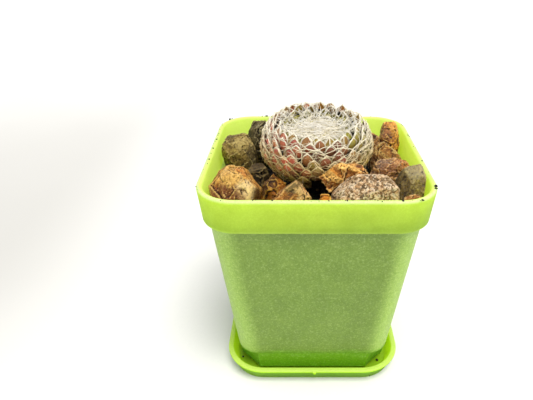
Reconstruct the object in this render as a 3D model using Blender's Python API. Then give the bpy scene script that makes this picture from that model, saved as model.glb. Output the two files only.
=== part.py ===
"""A cobweb houseleek in gravel, in a square plastic pot that stands on its saucer.

Sizes below are in millimetres, and each mesh is scaled to metres where it is made. +Z is up, the front is
towards -Y, and the origin is under the middle of the saucer, on the surface that it stands on.
"""

import math
import random

import bmesh
import bpy
import numpy as np
from mathutils import Vector, noise

MM = 0.001
GAP = 0.35  # left between pieces that touch
GOLDEN_ANGLE = math.pi * (3 - math.sqrt(5))

# The pot, measured outside
RIM_WIDTH = 75.0
RIM_TOP = 80.8
RIM_CORNER = 13.0
LIP = 1.9
BAND_HEIGHT = 11.7
BAND_FOOT_WIDTH = 72.9
BODY_TOP_WIDTH = 69.2
BODY_FOOT_WIDTH = 55.2
BODY_TOP_CORNER = 10.3
BODY_FOOT_CORNER = 7.4
WALL = 1.3
FOOT_LEVEL = 2.35
RECESS_HEIGHT = 8.2
RECESS_CUT = 1.06  # 1 is a straight chamfer from flat to flat, and more than 1 is hollow
FLOOR_RISE = 1.0
EDGE = 0.35  # the small radius on moulded edges
DRAIN_RADIUS = 2.0
DRAIN_OFFSET = 13.0

# The saucer
SAUCER_LIP_WIDTH = 66.4
SAUCER_BASE_WIDTH = 62.0
SAUCER_HEIGHT = 6.1
SAUCER_CORNER = 14.8
SAUCER_WALL = 1.3
SAUCER_FLOOR = 1.4
SAUCER_FLANGE = 0.7
RIB_HEIGHT = 0.6
RIB_WIDTH = 1.6
RIB_LENGTH = 46.0
RIB_OFFSET = 15.0
NUB_RADIUS = 0.55

# The soil
SOIL_LEVEL = 65.4
SOIL_LUMP = 1.1
SOIL_CELL = 2.6
STEM_HOLE_RADIUS = 3.1
STEM_HOLE_DEPTH = 12.0

# The rosette. The profile is where leaf tips lie: distance from the axis, level, and how far a tip leans back,
# from 0 for straight out, through 90 for upright, to 180 for flat over the crown.
ROSETTE_CENTRE = (0.9, 4.0)
TIP_PROFILE = [
    (0.0, 88.2, 100), (6.0, 88.0, 112), (10.0, 88.5, 114), (12.6, 90.4, 110), (14.4, 91.6, 105), (16.4, 90.6, 101),
    (18.2, 88.0, 97), (19.5, 84.8, 92), (19.8, 81.2, 84), (18.2, 77.6, 73), (15.6, 74.5, 64), (12.6, 72.1, 57),
    (9.6, 70.6, 50),
]
ROSETTE_TILT = 6.0  # degrees, towards the front
ROSETTE_PIVOT = (0.9, 4.0, 80.0)
LEAF_COUNT = 341
LEAF_AREA = 11.4  # of the surface to a full-sized leaf
YOUNG_AREA = 3.4  # the same at the heart
YOUNG_RADIUS = 14.0
LEAF_LENGTH = 6.4
LEAF_WIDTH = 4.0
LEAF_DEPTH = 1.6
LEAF_SINK = 4.2  # how far under the tips a leaf's root lies
LEAF_RINGS = ((0.0, 0.62, 0.9), (0.52, 1.0, 1.0))  # share of the length, of the width and of the depth
CORE_SINK = 2.2
HEART_SINK = 3.1
CORE_SIDES = 20
CORE_RINGS = 9
STEM_RADIUS = 2.6
STEM_DEPTH = 10.0

# Stones: name, colour, place of the middle, lowest and highest level, size along and across, turn in degrees,
# how far the top draws in, how far the peak leans along and across, corner points and seed.
STONES = [
    ("stone_olive_block", "olive", (-27.5, 8.8), 64.6, 83.6, (14.0, 14.0), 12, 0.28, (-0.05, 0.2), 16, 3),
    ("stone_dark_behind", "slate", (-20.4, 23.6), 64.9, 84.0, (12.6, 9.5), -12, 0.35, (-0.1, 0.0), 14, 5),
    ("stone_ochre_large", "ochre", (-25.0, -21.0), 64.4, 83.8, (20.0, 19.5), 6, 0.55, (-0.14, 0.45), 14, 52),
    ("stone_ochre_bright", "amber", (-14.0, -17.6), 64.8, 78.4, (9.6, 9.5), -35, 0.30, (-0.5, 0.3), 12, 2),
    ("stone_dark_left", "slate", (-19.6, -5.6), 64.5, 78.6, (11.0, 8.0), 20, 0.30, (0.2, 0.0), 14, 9),
    ("stone_brown_pyramid", "brown", (-8.0, -27.0), 64.6, 82.6, (18.0, 12.4), -8, 0.80, (0.12, 0.3), 12, 4),
    ("stone_ochre_small", "amber", (2.0, -29.3), 64.8, 78.8, (8.4, 8.0), 10, 0.30, (0.0, 0.0), 12, 6),
    ("stone_tan_wedge", "tan", (8.6, -16.8), 64.7, 86.6, (20.6, 9.8), -4, 0.16, (-0.12, 0.3), 13, 12),
    ("stone_granite", "granite", (15.2, -27.0), 64.5, 84.3, (25.0, 13.4), -2, 0.16, (-0.06, 0.1), 18, 7),
    ("stone_dark_egg", "olive", (31.0, -20.6), 64.6, 85.2, (11.6, 12.0), 0, 0.30, (0.02, 0.1), 22, 11),
    ("stone_brown_flat", "brown", (27.0, -5.2), 64.7, 80.8, (17.4, 11.5), 6, 0.15, (0.1, 0.0), 14, 13),
    ("stone_striped", "tan", (27.2, 7.4), 64.5, 82.2, (14.2, 11.5), -6, 0.75, (-0.1, 0.1), 12, 15),
    ("stone_orange_back", "amber", (30.6, 19.6), 64.8, 85.2, (10.6, 11.5), 10, 0.18, (0.1, 0.1), 14, 17),
    ("stone_brown_sliver", "brown", (24.0, 15.4), 64.6, 81.4, (5.4, 9.0), -10, 0.25, (0.0, 0.0), 12, 19),
    ("stone_front_corner", "brown", (29.4, -30.0), 64.8, 79.4, (9.4, 7.0), 30, 0.25, (0.0, 0.0), 12, 21),
    ("stone_back_left", "brown", (-29.6, 26.6), 64.6, 73.0, (9.5, 9.5), 15, 0.35, (0.0, 0.0), 14, 23),
    ("stone_back_a", "amber", (-9.2, 28.2), 64.7, 79.6, (11.0, 10.0), -10, 0.35, (0.0, 0.0), 14, 25),
    ("stone_back_b", "slate", (2.6, 29.2), 64.5, 78.0, (11.0, 9.0), 14, 0.30, (0.1, 0.0), 14, 27),
    ("stone_back_c", "ochre", (14.2, 28.0), 64.8, 79.4, (11.0, 10.5), -6, 0.45, (0.0, 0.1), 14, 29),
    ("stone_back_corner", "granite", (25.0, 28.6), 64.6, 76.4, (9.0, 8.4), 8, 0.30, (0.0, 0.0), 14, 31),
    ("stone_low_right", "brown", (17.4, 22.6), 64.7, 75.6, (8.4, 7.6), 20, 0.30, (0.0, 0.0), 14, 37),
    ("stone_low_front", "slate", (1.6, -20.6), 64.5, 70.2, (8.0, 7.0), 35, 0.30, (0.0, 0.0), 12, 39),
    ("stone_low_left", "brown", (-30.6, -4.6), 64.7, 73.4, (6.6, 8.6), 0, 0.30, (0.0, 0.0), 12, 33),
    ("stone_low_middle", "slate", (-6.4, -15.8), 64.5, 70.6, (8.6, 6.6), -20, 0.30, (0.0, 0.0), 12, 35),
]
# Flat faces that shape the main stones: which way each faces, its tilt up, and how far it lies from the middle
STONE_FACES = {
    "stone_ochre_large": [(180, 53, 8.6), (0, 57, 6.8), (285, 35, 8.6)],
    "stone_brown_pyramid": [(180, 50, 5.4), (0, 48, 6.6), (270, 35, 2.6)],
    "stone_tan_wedge": [(180, 66, 9.0), (0, 73, 9.3), (180, -37, 3.9)],
    "stone_striped": [(180, 38, 6.4), (0, 45, 5.6), (270, 35, 4.4)],
    "stone_orange_back": [(0, 20, 5.2), (250, 40, 8.2)],
}
STONE_COLOURS = {
    "olive": (0.19, 0.17, 0.09),
    "slate": (0.09, 0.08, 0.05),
    "ochre": (0.50, 0.30, 0.11),
    "amber": (0.52, 0.24, 0.05),
    "tan": (0.50, 0.27, 0.11),
    "brown": (0.27, 0.15, 0.08),
    "granite": (0.36, 0.26, 0.19),
}
BOXINESS = 0.62  # 1 is a ball, and less is squarer
WALL_LEAN = 0.21  # how fast the stones' room widens above the pot's inner ledge, so that they clear the band
ROSETTE_ROOM = (22.9, 85.0, 0.36)  # radius, level and widening of the cone that stones stay out of
WALL_DIRECTIONS = 16

CORNER_STEPS = 6


def rounded_square(half, corner, cut=0.0):
    """Corner points of a rounded square, anticlockwise. cut draws each arc in towards its chord."""
    points = []
    for quarter in range(4):
        turn = complex(0, 1) ** quarter
        for step in range(CORNER_STEPS + 1):
            share = step / CORNER_STEPS
            angle = share * math.pi / 2
            arc = complex(half - corner + corner * math.cos(angle), half - corner + corner * math.sin(angle))
            chord = complex(half - corner * share, half - corner * (1 - share))
            place = (arc + (chord - arc) * cut) * turn
            points.append((place.real, place.imag))
    return np.array(points)


def at_level(outline, level):
    """An outline as points of one height."""
    return np.column_stack([outline, np.full(len(outline), level)])


def stacked(rings):
    """Points and faces of a closed skin through rings that run from under the shape, out, up and in."""
    count = len(rings[0])
    faces = [tuple(reversed(range(count)))]
    for level in range(len(rings) - 1):
        for side in range(count):
            low, low_next = level * count + side, level * count + (side + 1) % count
            faces.append((low, low_next, low_next + count, low + count))
    last = (len(rings) - 1) * count
    faces.append(tuple(range(last, last + count)))
    return np.vstack(rings), faces


def surface(name, colour, roughness):
    """A plain opaque material."""
    material = bpy.data.materials.new(name)
    material.use_nodes = True
    shader = material.node_tree.nodes["Principled BSDF"]
    shader.inputs["Base Color"].default_value = (*colour, 1.0)
    shader.inputs["Roughness"].default_value = roughness
    shader.inputs["Metallic"].default_value = 0.0
    return material


def add_object(name, points, faces, material, collection=None, smooth=35.0):
    """An object made of points in millimetres."""
    mesh = bpy.data.meshes.new(name)
    mesh.from_pydata((np.asarray(points) * MM).tolist(), [], [tuple(face) for face in faces])
    mesh.validate()
    if material:
        mesh.materials.append(material)
    if smooth:
        mesh.shade_smooth()
        mesh.set_sharp_from_angle(angle=math.radians(smooth))
    made = bpy.data.objects.new(name, mesh)
    (collection or bpy.context.scene.collection).objects.link(made)
    return made


def helper(made):
    """Marks an object as a cutter, which is no part of the model."""
    made.hide_render = True
    made.display_type = "WIRE"
    return made


def boolean(made, other, operation, solver="EXACT"):
    modifier = made.modifiers.new(operation.title(), "BOOLEAN")
    modifier.operation = operation
    modifier.solver = solver
    if isinstance(other, bpy.types.Collection):
        modifier.operand_type = "COLLECTION"
        modifier.collection = other
    else:
        modifier.object = other
    return modifier


def drum(name, radius, low, high, place, sides=20):
    """A plain cylinder, for a cutter or a nub."""
    angles = [math.tau * side / sides for side in range(sides)]
    outline = np.array([(place[0] + radius * math.cos(a), place[1] + radius * math.sin(a)) for a in angles])
    return add_object(name, *stacked([at_level(outline, low), at_level(outline, high)]), None, smooth=0)


def body_half(level):
    """Half the pot body's width outside, at a height."""
    share = (level - FOOT_LEVEL) / (RIM_TOP - BAND_HEIGHT - FOOT_LEVEL)
    return (BODY_FOOT_WIDTH + (BODY_TOP_WIDTH - BODY_FOOT_WIDTH) * share) / 2


def body_corner(level):
    share = (level - FOOT_LEVEL) / (RIM_TOP - BAND_HEIGHT - FOOT_LEVEL)
    return BODY_FOOT_CORNER + (BODY_TOP_CORNER - BODY_FOOT_CORNER) * share


def body_ring(level, inset=0.0, cut=0.0):
    """The pot body's outline at a height, drawn in by inset."""
    outline = rounded_square(body_half(level) - inset, body_corner(level) - inset, cut)
    return at_level(outline, level)


def make_pot():
    """The thin moulded pot: tapered body, wider band under the lip, and a recess at each foot corner."""
    recess_top = FOOT_LEVEL + RECESS_HEIGHT
    band_foot = RIM_TOP - BAND_HEIGHT
    under_floor = FOOT_LEVEL + FLOOR_RISE
    floor_top = under_floor + WALL
    half_foot, half_rim = BAND_FOOT_WIDTH / 2, RIM_WIDTH / 2

    def band(half, level):
        return at_level(rounded_square(half, RIM_CORNER - (half_rim - half)), level)

    rings = [
        body_ring(under_floor, WALL, RECESS_CUT),
        body_ring(FOOT_LEVEL, WALL, RECESS_CUT),
        body_ring(FOOT_LEVEL, 0.0, RECESS_CUT),
        body_ring(recess_top, 0.0, RECESS_CUT),
        body_ring(recess_top),
        body_ring(band_foot),
        band(half_foot - EDGE, band_foot),
        band(half_foot, band_foot + EDGE),
        band(half_rim, RIM_TOP - 2 * EDGE),
        band(half_rim - EDGE * 0.6, RIM_TOP - EDGE * 0.6),
        band(half_rim - 2 * EDGE, RIM_TOP),
        band(half_rim - LIP + EDGE, RIM_TOP),
        band(half_rim - LIP, RIM_TOP - EDGE),
        band(half_foot - WALL, band_foot + WALL),
        body_ring(band_foot + WALL, WALL + (BODY_TOP_WIDTH - BODY_FOOT_WIDTH) / 2 * 0.02),
        body_ring(recess_top + WALL, WALL),
        body_ring(recess_top + WALL, WALL, RECESS_CUT),
        body_ring(floor_top, WALL, RECESS_CUT),
    ]
    pot = add_object("pot", *stacked(rings), surface("lime_plastic", (0.36, 0.62, 0.04), 0.45))
    places = [(0.0, 0.0)] + [(x * DRAIN_OFFSET, y * DRAIN_OFFSET) for x in (-1, 1) for y in (-1, 1)]
    for number, place in enumerate(places):
        low, high = under_floor - 2 * WALL, floor_top + WALL
        boolean(pot, helper(drum(f"drain_{number}", DRAIN_RADIUS, low, high, place)), "DIFFERENCE")
    return pot


def make_saucer():
    """The shallow dish under the pot, with an outward lip, low ribs on its floor and a moulding nub."""
    base, lip = SAUCER_BASE_WIDTH / 2, SAUCER_LIP_WIDTH / 2
    flange_foot = SAUCER_HEIGHT - 2 * EDGE - 0.3

    def dish(half, level):
        return at_level(rounded_square(half, SAUCER_CORNER - (lip - half)), level)

    rings = [
        dish(base - EDGE, 0.0),
        dish(base, EDGE),
        dish(lip - SAUCER_FLANGE, flange_foot),
        dish(lip, flange_foot + EDGE),
        dish(lip, SAUCER_HEIGHT - EDGE),
        dish(lip - EDGE, SAUCER_HEIGHT),
        dish(lip - SAUCER_FLANGE - SAUCER_WALL + EDGE, SAUCER_HEIGHT),
        dish(lip - SAUCER_FLANGE - SAUCER_WALL, SAUCER_HEIGHT - EDGE),
        dish(base - SAUCER_WALL + EDGE, SAUCER_FLOOR + 3 * EDGE),
        dish(base - SAUCER_WALL - 3 * EDGE, SAUCER_FLOOR),
    ]
    material = surface("saucer_plastic", (0.33, 0.62, 0.03), 0.4)
    saucer = add_object("saucer", *stacked(rings), material)
    additions = bpy.data.collections.new("saucer_additions")
    bpy.context.scene.collection.children.link(additions)
    for number, (along, offset) in enumerate([(0, -1), (0, 1), (1, -1), (1, 1)]):
        half = np.array([RIB_LENGTH, RIB_WIDTH]) / 2
        low, high = np.array([0, offset * RIB_OFFSET]) - half, np.array([0, offset * RIB_OFFSET]) + half
        outline = np.array([(low[0], low[1]), (high[0], low[1]), (high[0], high[1]), (low[0], high[1])])
        if along:
            outline = np.column_stack([-outline[:, 1], outline[:, 0]])
        rib = stacked([at_level(outline, SAUCER_FLOOR - 0.7), at_level(outline, SAUCER_FLOOR + RIB_HEIGHT)])
        add_object(f"rib_{number}", *rib, None, additions, smooth=0)
    nub = drum("nub", NUB_RADIUS, SAUCER_HEIGHT - 1.1, SAUCER_HEIGHT - 0.1, (0.5, -lip), sides=10)
    bpy.context.scene.collection.objects.unlink(nub)
    additions.objects.link(nub)
    return saucer, additions


def curve_through(points, samples):
    """A smooth curve through points, as rows of the same numbers, with samples steps between each two."""
    points = np.asarray(points, float)
    padded = np.vstack([2 * points[0] - points[1], points, 2 * points[-1] - points[-2]])
    rows = []
    for index in range(len(points) - 1):
        before, start, end, after = padded[index : index + 4]
        for step in range(samples):
            t = step / samples
            rows.append(
                0.5 * (2 * start + (end - before) * t + (2 * before - 5 * start + 4 * end - after) * t**2
                       + (3 * start - before - 3 * end + after) * t**3)
            )
    return np.array([*rows, points[-1]])


class Crown:
    """The surface that the leaf tips lie on, measured along its profile from the heart to the lowest leaves."""

    def __init__(self):
        rows = curve_through(TIP_PROFILE, 12)
        self.radius, self.level, self.lean = rows.T
        self.radius = np.maximum(self.radius, 0.0)
        steps = np.hypot(np.diff(self.radius), np.diff(self.level))
        self.along = np.concatenate([[0.0], np.cumsum(steps)])
        share = np.minimum(self.radius / YOUNG_RADIUS, 1.0)
        outside = self.along > self.along[np.argmax(self.radius > YOUNG_RADIUS)]
        area = np.where(outside, LEAF_AREA, YOUNG_AREA + (LEAF_AREA - YOUNG_AREA) * share)
        rate = math.tau * self.radius / area
        self.counted = np.concatenate([[0.0], np.cumsum((rate[1:] + rate[:-1]) / 2 * steps)])
        self.scale = np.sqrt(area / LEAF_AREA)

    def leaf(self, number):
        """Distance from the axis, level, lean in radians, size and outward normal (across, up) of one leaf's tip."""
        along = np.interp(number + 0.5, self.counted, self.along)
        step = 0.4
        ends = [self.at(np.clip(along + way, 0, self.along[-1])) for way in (-step, step)]
        run, rise = ends[1][0] - ends[0][0], ends[1][1] - ends[0][1]
        size = math.hypot(run, rise)
        radius, level, lean, scale = self.at(along)
        return radius, level, math.radians(lean), scale, (-rise / size, run / size)

    def at(self, along):
        return [np.interp(along, self.along, row) for row in (self.radius, self.level, self.lean, self.scale)]


def tilted(point):
    """A point of the upright rosette, as the rosette leans towards the front."""
    angle = math.radians(ROSETTE_TILT)
    along, rise = point[1] - ROSETTE_PIVOT[1], point[2] - ROSETTE_PIVOT[2]
    return np.array([point[0], ROSETTE_PIVOT[1] + along * math.cos(angle) - rise * math.sin(angle),
                     ROSETTE_PIVOT[2] + along * math.sin(angle) + rise * math.cos(angle)])


def leaf_rings(crown, number, chance):
    """Rings of points round one leaf, from its root to near its tip, and the tip."""
    radius, level, lean, scale, normal = crown.leaf(number)
    turn = number * GOLDEN_ANGLE + chance.uniform(-0.05, 0.05)
    out = np.array([math.cos(turn), math.sin(turn), 0.0])
    side = np.array([-math.sin(turn), math.cos(turn), 0.0])
    up = np.array([0.0, 0.0, 1.0])
    lean += math.radians(chance.uniform(-6, 6))
    ahead = out * math.cos(lean) + up * math.sin(lean)
    outward = out * normal[0] + up * normal[1]
    size = scale * chance.uniform(0.93, 1.07)
    tip = np.array([*ROSETTE_CENTRE, 0.0]) + out * radius + up * level + outward * chance.uniform(-0.35, 0.35)
    root = tip - ahead * LEAF_LENGTH * size * 0.8 - outward * (LEAF_SINK - 2.2 * (1 - scale))
    belly = tip - ahead * LEAF_LENGTH * size * 0.46 + outward * 0.55 * size
    tip, root, belly = (tilted(point) for point in (tip, root, belly))
    side, outward = (tilted(way + ROSETTE_PIVOT) - ROSETTE_PIVOT for way in (side, outward))
    rings = []
    for t, width, depth in LEAF_RINGS:
        middle = root * (1 - t) ** 2 + belly * 2 * t * (1 - t) + tip * t**2
        travel = (belly - root) * (1 - t) + (tip - belly) * t
        travel /= np.linalg.norm(travel)
        back = np.cross(side, travel)
        back *= np.sign(back @ outward) or 1.0
        half_width, half_depth = width * LEAF_WIDTH * size / 2, depth * LEAF_DEPTH * size / 2
        inner = middle - back * half_depth * 0.6
        rings.append([inner + side * half_width, middle + back * half_depth * 1.2, inner - side * half_width])
    return np.array(rings), tip


def leaf_skin(rings, tip):
    """Points and faces of a closed leaf, facing out."""
    count = rings.shape[1]
    points = np.vstack([rings.reshape(-1, 3), tip])
    faces = [tuple(range(count))]
    for level in range(len(rings) - 1):
        for corner in range(count):
            low, low_next = level * count + corner, level * count + (corner + 1) % count
            faces.append((low, low + count, low_next + count, low_next))
    last = (len(rings) - 1) * count
    faces += [(last + corner, len(points) - 1, last + (corner + 1) % count) for corner in range(count)]
    hub = points.mean(axis=0)
    first = points[list(faces[0][:3])]
    if np.cross(first[1] - first[0], first[2] - first[1]) @ (first[0] - hub) < 0:
        faces = [tuple(reversed(face)) for face in faces]
    return points, faces


def turned(profile, sides, centre):
    """Rings of points from a profile of (radius, level) turned about an upright axis."""
    angles = np.arange(sides) * math.tau / sides
    return [
        np.column_stack([centre[0] + radius * np.cos(angles), centre[1] + radius * np.sin(angles),
                         np.full(sides, level)])
        for radius, level in profile
    ]


def make_rosette():
    """One plant: a core on a stem, and leaves set round it by the golden angle, youngest first."""
    crown = Crown()
    chance = random.Random(41)
    stem_foot = SOIL_LEVEL - STEM_DEPTH
    core = []
    for along in np.linspace(crown.along[-1], 3.0, CORE_RINGS):
        radius, level, _, _ = crown.at(along)
        ahead = crown.at(min(along + 0.4, crown.along[-1]))
        behind = crown.at(along - 0.4)
        run, rise = ahead[0] - behind[0], ahead[1] - behind[1]
        size = math.hypot(run, rise)
        sink = np.interp(radius, [YOUNG_RADIUS, YOUNG_RADIUS + 3], [HEART_SINK, CORE_SINK]) if run > 0 else CORE_SINK
        core.append((radius + rise / size * sink, level - run / size * sink))
    lowest = core[0][1]
    profile = [(STEM_RADIUS * 0.9, stem_foot), (STEM_RADIUS, lowest - 1.2), (core[0][0] * 0.7, lowest - 0.7), *core]
    material = surface("leaf_green", (0.30, 0.26, 0.11), 0.55)
    rings = turned(profile, CORE_SIDES, ROSETTE_CENTRE)
    rings[2:] = [np.array([tilted(point) for point in ring]) for ring in rings[2:]]
    rosette = add_object("rosette", *stacked(rings), material)
    leaves = bpy.data.collections.new("leaves")
    bpy.context.scene.collection.children.link(leaves)
    for number in range(LEAF_COUNT):
        add_object(f"leaf_{number:03d}", *leaf_skin(*leaf_rings(crown, number, chance)), None, leaves, smooth=0)
    return rosette, leaves


def sphere_directions(count):
    """Evenly spread directions."""
    rows = []
    for number in range(count):
        height = 1 - 2 * (number + 0.5) / count
        ring = math.sqrt(1 - height * height)
        rows.append((ring * math.cos(number * GOLDEN_ANGLE), ring * math.sin(number * GOLDEN_ANGLE), height))
    return np.array(rows)


def convex(points):
    """The mesh in bmesh of the hull of points."""
    hull = bmesh.new()
    for point in points:
        hull.verts.new(point)
    made = bmesh.ops.convex_hull(hull, input=hull.verts)
    loose = {item for item in made["geom_interior"] + made["geom_unused"] if isinstance(item, bmesh.types.BMVert)}
    bmesh.ops.delete(hull, geom=list(loose), context="VERTS")
    bmesh.ops.recalc_face_normals(hull, faces=hull.faces)
    return hull


def kept_behind(points, normal, limit):
    """Corner points of the hull of points, cut to where normal . point <= limit."""
    normal = np.asarray(normal, float)
    if (points @ normal).max() <= limit:
        return points
    hull = convex(points)
    everything = [*hull.verts, *hull.edges, *hull.faces]
    bmesh.ops.bisect_plane(hull, geom=everything, plane_co=normal * limit / (normal @ normal), plane_no=normal,
                           clear_outer=True)
    left = np.array([vert.co[:] for vert in hull.verts])
    hull.free()
    return left


def stone_points(name, place, low, high, size, turn, draw_in, peak, count, seed):
    """Corner points of a rough stone before its neighbours shape it."""
    chance = random.Random(seed)
    ways = sphere_directions(count)
    ways = np.sign(ways) * np.abs(ways) ** BOXINESS
    ways *= np.array([[chance.uniform(0.78, 1.1) for _ in range(3)] for _ in range(count)])
    ways /= np.abs(ways).max(axis=0)
    raised = np.clip(ways[:, 2], 0, 1)
    sunk = np.clip(-ways[:, 2], 0, 1)
    for axis in range(2):
        ways[:, axis] *= (1 - draw_in * raised) * (1 - 0.25 * sunk)
        ways[:, axis] += peak[axis] * raised
        ways[:, axis] = (ways[:, axis] - ways[:, axis].min()) / np.ptp(ways[:, axis]) - 0.5
    ways[:, 2] = (ways[:, 2] - ways[:, 2].min()) / np.ptp(ways[:, 2])
    across, along = ways[:, 0] * size[0], ways[:, 1] * size[1]
    angle = math.radians(turn)
    points = np.column_stack([
        place[0] + across * math.cos(angle) - along * math.sin(angle),
        place[1] + across * math.sin(angle) + along * math.cos(angle),
        low + ways[:, 2] * (high - low),
    ])
    middle = np.array([*place, (low + high) / 2])
    for facing, tilt, reach in STONE_FACES.get(name, []):
        facing, tilt = math.radians(facing), math.radians(tilt)
        normal = np.array([math.cos(facing) * math.cos(tilt), math.sin(facing) * math.cos(tilt), math.sin(tilt)])
        points = kept_behind(points, normal, normal @ middle + reach)
    return points


def kept_in_pot(points):
    """Points cut to the room inside the pot's band and outside the rosette."""
    level = RIM_TOP - BAND_HEIGHT + WALL
    half = body_half(level) - WALL - GAP
    corner = body_corner(level) - WALL - GAP
    for step in range(WALL_DIRECTIONS):
        angle = step * math.tau / WALL_DIRECTIONS
        reach = (half - corner) * (abs(math.cos(angle)) + abs(math.sin(angle))) + corner
        normal = np.array([math.cos(angle), math.sin(angle), -WALL_LEAN])
        points = kept_behind(points, normal, reach - WALL_LEAN * level)
    radius, level, widening = ROSETTE_ROOM
    away = points[:, :2].mean(axis=0) - ROSETTE_CENTRE
    away /= np.linalg.norm(away)
    normal = -np.array([*away, -widening])
    return kept_behind(points, normal, normal[:2] @ ROSETTE_CENTRE - radius + widening * level)


def face_directions(points):
    hull = convex(points)
    found = [np.array(face.normal[:]) for face in hull.faces if face.normal.length > 0.5]
    hull.free()
    return found


def parted(first, second):
    """Two sets of corner points, both cut back from the plane between them where they are too close."""
    between = second.mean(axis=0) - first.mean(axis=0)
    ways = [between / np.linalg.norm(between), *face_directions(first), *[-way for way in face_directions(second)]]
    best = max(ways, key=lambda way: (second @ way).min() - (first @ way).max())
    start, end = (second @ best).min(), (first @ best).max()
    if start - end >= GAP:
        return first, second
    middle = (start + end) / 2
    return kept_behind(first, best, middle - GAP / 2), kept_behind(second, -best, -middle - GAP / 2)


def make_stones():
    """Every stone as the hull of its corner points, each cut clear of the pot, the rosette and the others."""
    shapes = [kept_in_pot(stone_points(name, *form)) for name, _, *form in STONES]
    for _ in range(2):
        for first in range(len(shapes)):
            for second in range(first + 1, len(shapes)):
                shapes[first], shapes[second] = parted(shapes[first], shapes[second])
    materials = {name: surface(f"{name}_rock", colour, 0.75) for name, colour in STONE_COLOURS.items()}
    for row, points in zip(STONES, shapes):
        hull = convex(points)
        mesh = bpy.data.meshes.new(row[0])
        bmesh.ops.scale(hull, vec=(MM, MM, MM), verts=hull.verts)
        hull.to_mesh(mesh)
        hull.free()
        mesh.materials.append(materials[row[1]])
        bpy.context.scene.collection.objects.link(bpy.data.objects.new(row[0], mesh))
    return shapes


def under_a_stone(place, points, margin):
    """Whether a place on the soil is within margin of the outline of a stone."""
    angles = np.arange(16) * math.tau / 16
    ways = np.column_stack([np.cos(angles), np.sin(angles)])
    return bool(((points[:, :2] @ ways.T).max(axis=0) + margin >= ways @ place).all())


def make_soil(shapes):
    """The growing mix: lumpy on top, dented under each stone, trimmed to the pot's inside."""
    cells = round(2 * body_half(SOIL_LEVEL) / SOIL_CELL) + 2
    edge = cells * SOIL_CELL / 2
    floor_top = FOOT_LEVEL + FLOOR_RISE + WALL
    points, faces = [], []
    for row in range(cells + 1):
        for column in range(cells + 1):
            x, y = column * SOIL_CELL - edge, row * SOIL_CELL - edge
            level = SOIL_LEVEL + SOIL_LUMP * noise.noise(Vector((x, y, 3.0)) / 4.5)
            for stone in shapes:
                if under_a_stone(np.array([x, y]), stone, SOIL_CELL * 1.1):
                    level = min(level, stone[:, 2].min() - GAP)
            points.append((x, y, level))
    across = cells + 1
    for row in range(cells):
        for column in range(cells):
            low = row * across + column
            faces += [(low, low + 1, low + across + 1), (low, low + across + 1, low + across)]
    border = [*range(cells), *[row * across + cells for row in range(cells)],
              *[cells * across + column for column in range(cells, 0, -1)],
              *[row * across for row in range(cells, 0, -1)]]
    foot = len(points)
    points += [(points[index][0], points[index][1], floor_top - SOIL_CELL) for index in border]
    for index in range(len(border)):
        after = (index + 1) % len(border)
        faces.append((border[index], foot + index, foot + after, border[after]))
    faces.append(tuple(foot + index for index in reversed(range(len(border)))))
    soil = add_object("soil", points, faces, surface("soil_mix", (0.03, 0.022, 0.015), 0.95), smooth=0)
    inset = WALL + GAP
    ledge = FOOT_LEVEL + RECESS_HEIGHT + WALL + GAP
    room = stacked([
        body_ring(floor_top + GAP, inset, RECESS_CUT),
        body_ring(ledge, inset, RECESS_CUT),
        body_ring(ledge, inset),
        body_ring(SOIL_LEVEL + 3 * SOIL_LUMP, inset),
    ])
    hole_foot = SOIL_LEVEL - STEM_HOLE_DEPTH
    boolean(soil, helper(add_object("pot_room", *room, None, smooth=0)), "INTERSECT")
    hole = drum("stem_hole", STEM_HOLE_RADIUS, hole_foot, SOIL_LEVEL + 5, ROSETTE_CENTRE)
    boolean(soil, helper(hole), "DIFFERENCE")
    return soil


def settle(made):
    """Keeps an object's shape as its modifiers give it."""
    graph = bpy.context.evaluated_depsgraph_get()
    mesh = bpy.data.meshes.new_from_object(made.evaluated_get(graph))
    made.modifiers.clear()
    made.data = mesh


def keep_outer_skin(made):
    """Drops the skins of pockets shut in between leaves, so that the body is solid there."""
    shape = bmesh.new()
    shape.from_mesh(made.data)
    left, islands = set(shape.verts), []
    while left:
        island, edge = set(), [left.pop()]
        while edge:
            vert = edge.pop()
            island.add(vert)
            near = {link.other_vert(vert) for link in vert.link_edges} & left
            left -= near
            edge += near
        islands.append(island)
    islands.sort(key=len)
    bmesh.ops.delete(shape, geom=[vert for island in islands[:-1] for vert in island], context="VERTS")
    shape.to_mesh(made.data)
    shape.free()


def clear_away(collection):
    for made in list(collection.objects):
        bpy.data.objects.remove(made)
    bpy.data.collections.remove(collection)


def main():
    for made in list(bpy.data.objects):
        bpy.data.objects.remove(made)
    make_pot()
    for whole, additions in (make_saucer(), make_rosette()):
        boolean(whole, additions, "UNION")
        settle(whole)
        keep_outer_skin(whole)
        clear_away(additions)
    make_soil(make_stones())


main()
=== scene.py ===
"""The looks of a cobweb houseleek in gravel, in a lime green square pot on its saucer.

Lengths are in millimetres in this script's constants and in most functions, and are scaled to metres where a
mesh is made. The frame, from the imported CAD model, is in metres.
"""

import math
import random

import bmesh
import bpy
import numpy as np
from mathutils import Matrix, Vector, kdtree, noise


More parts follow.
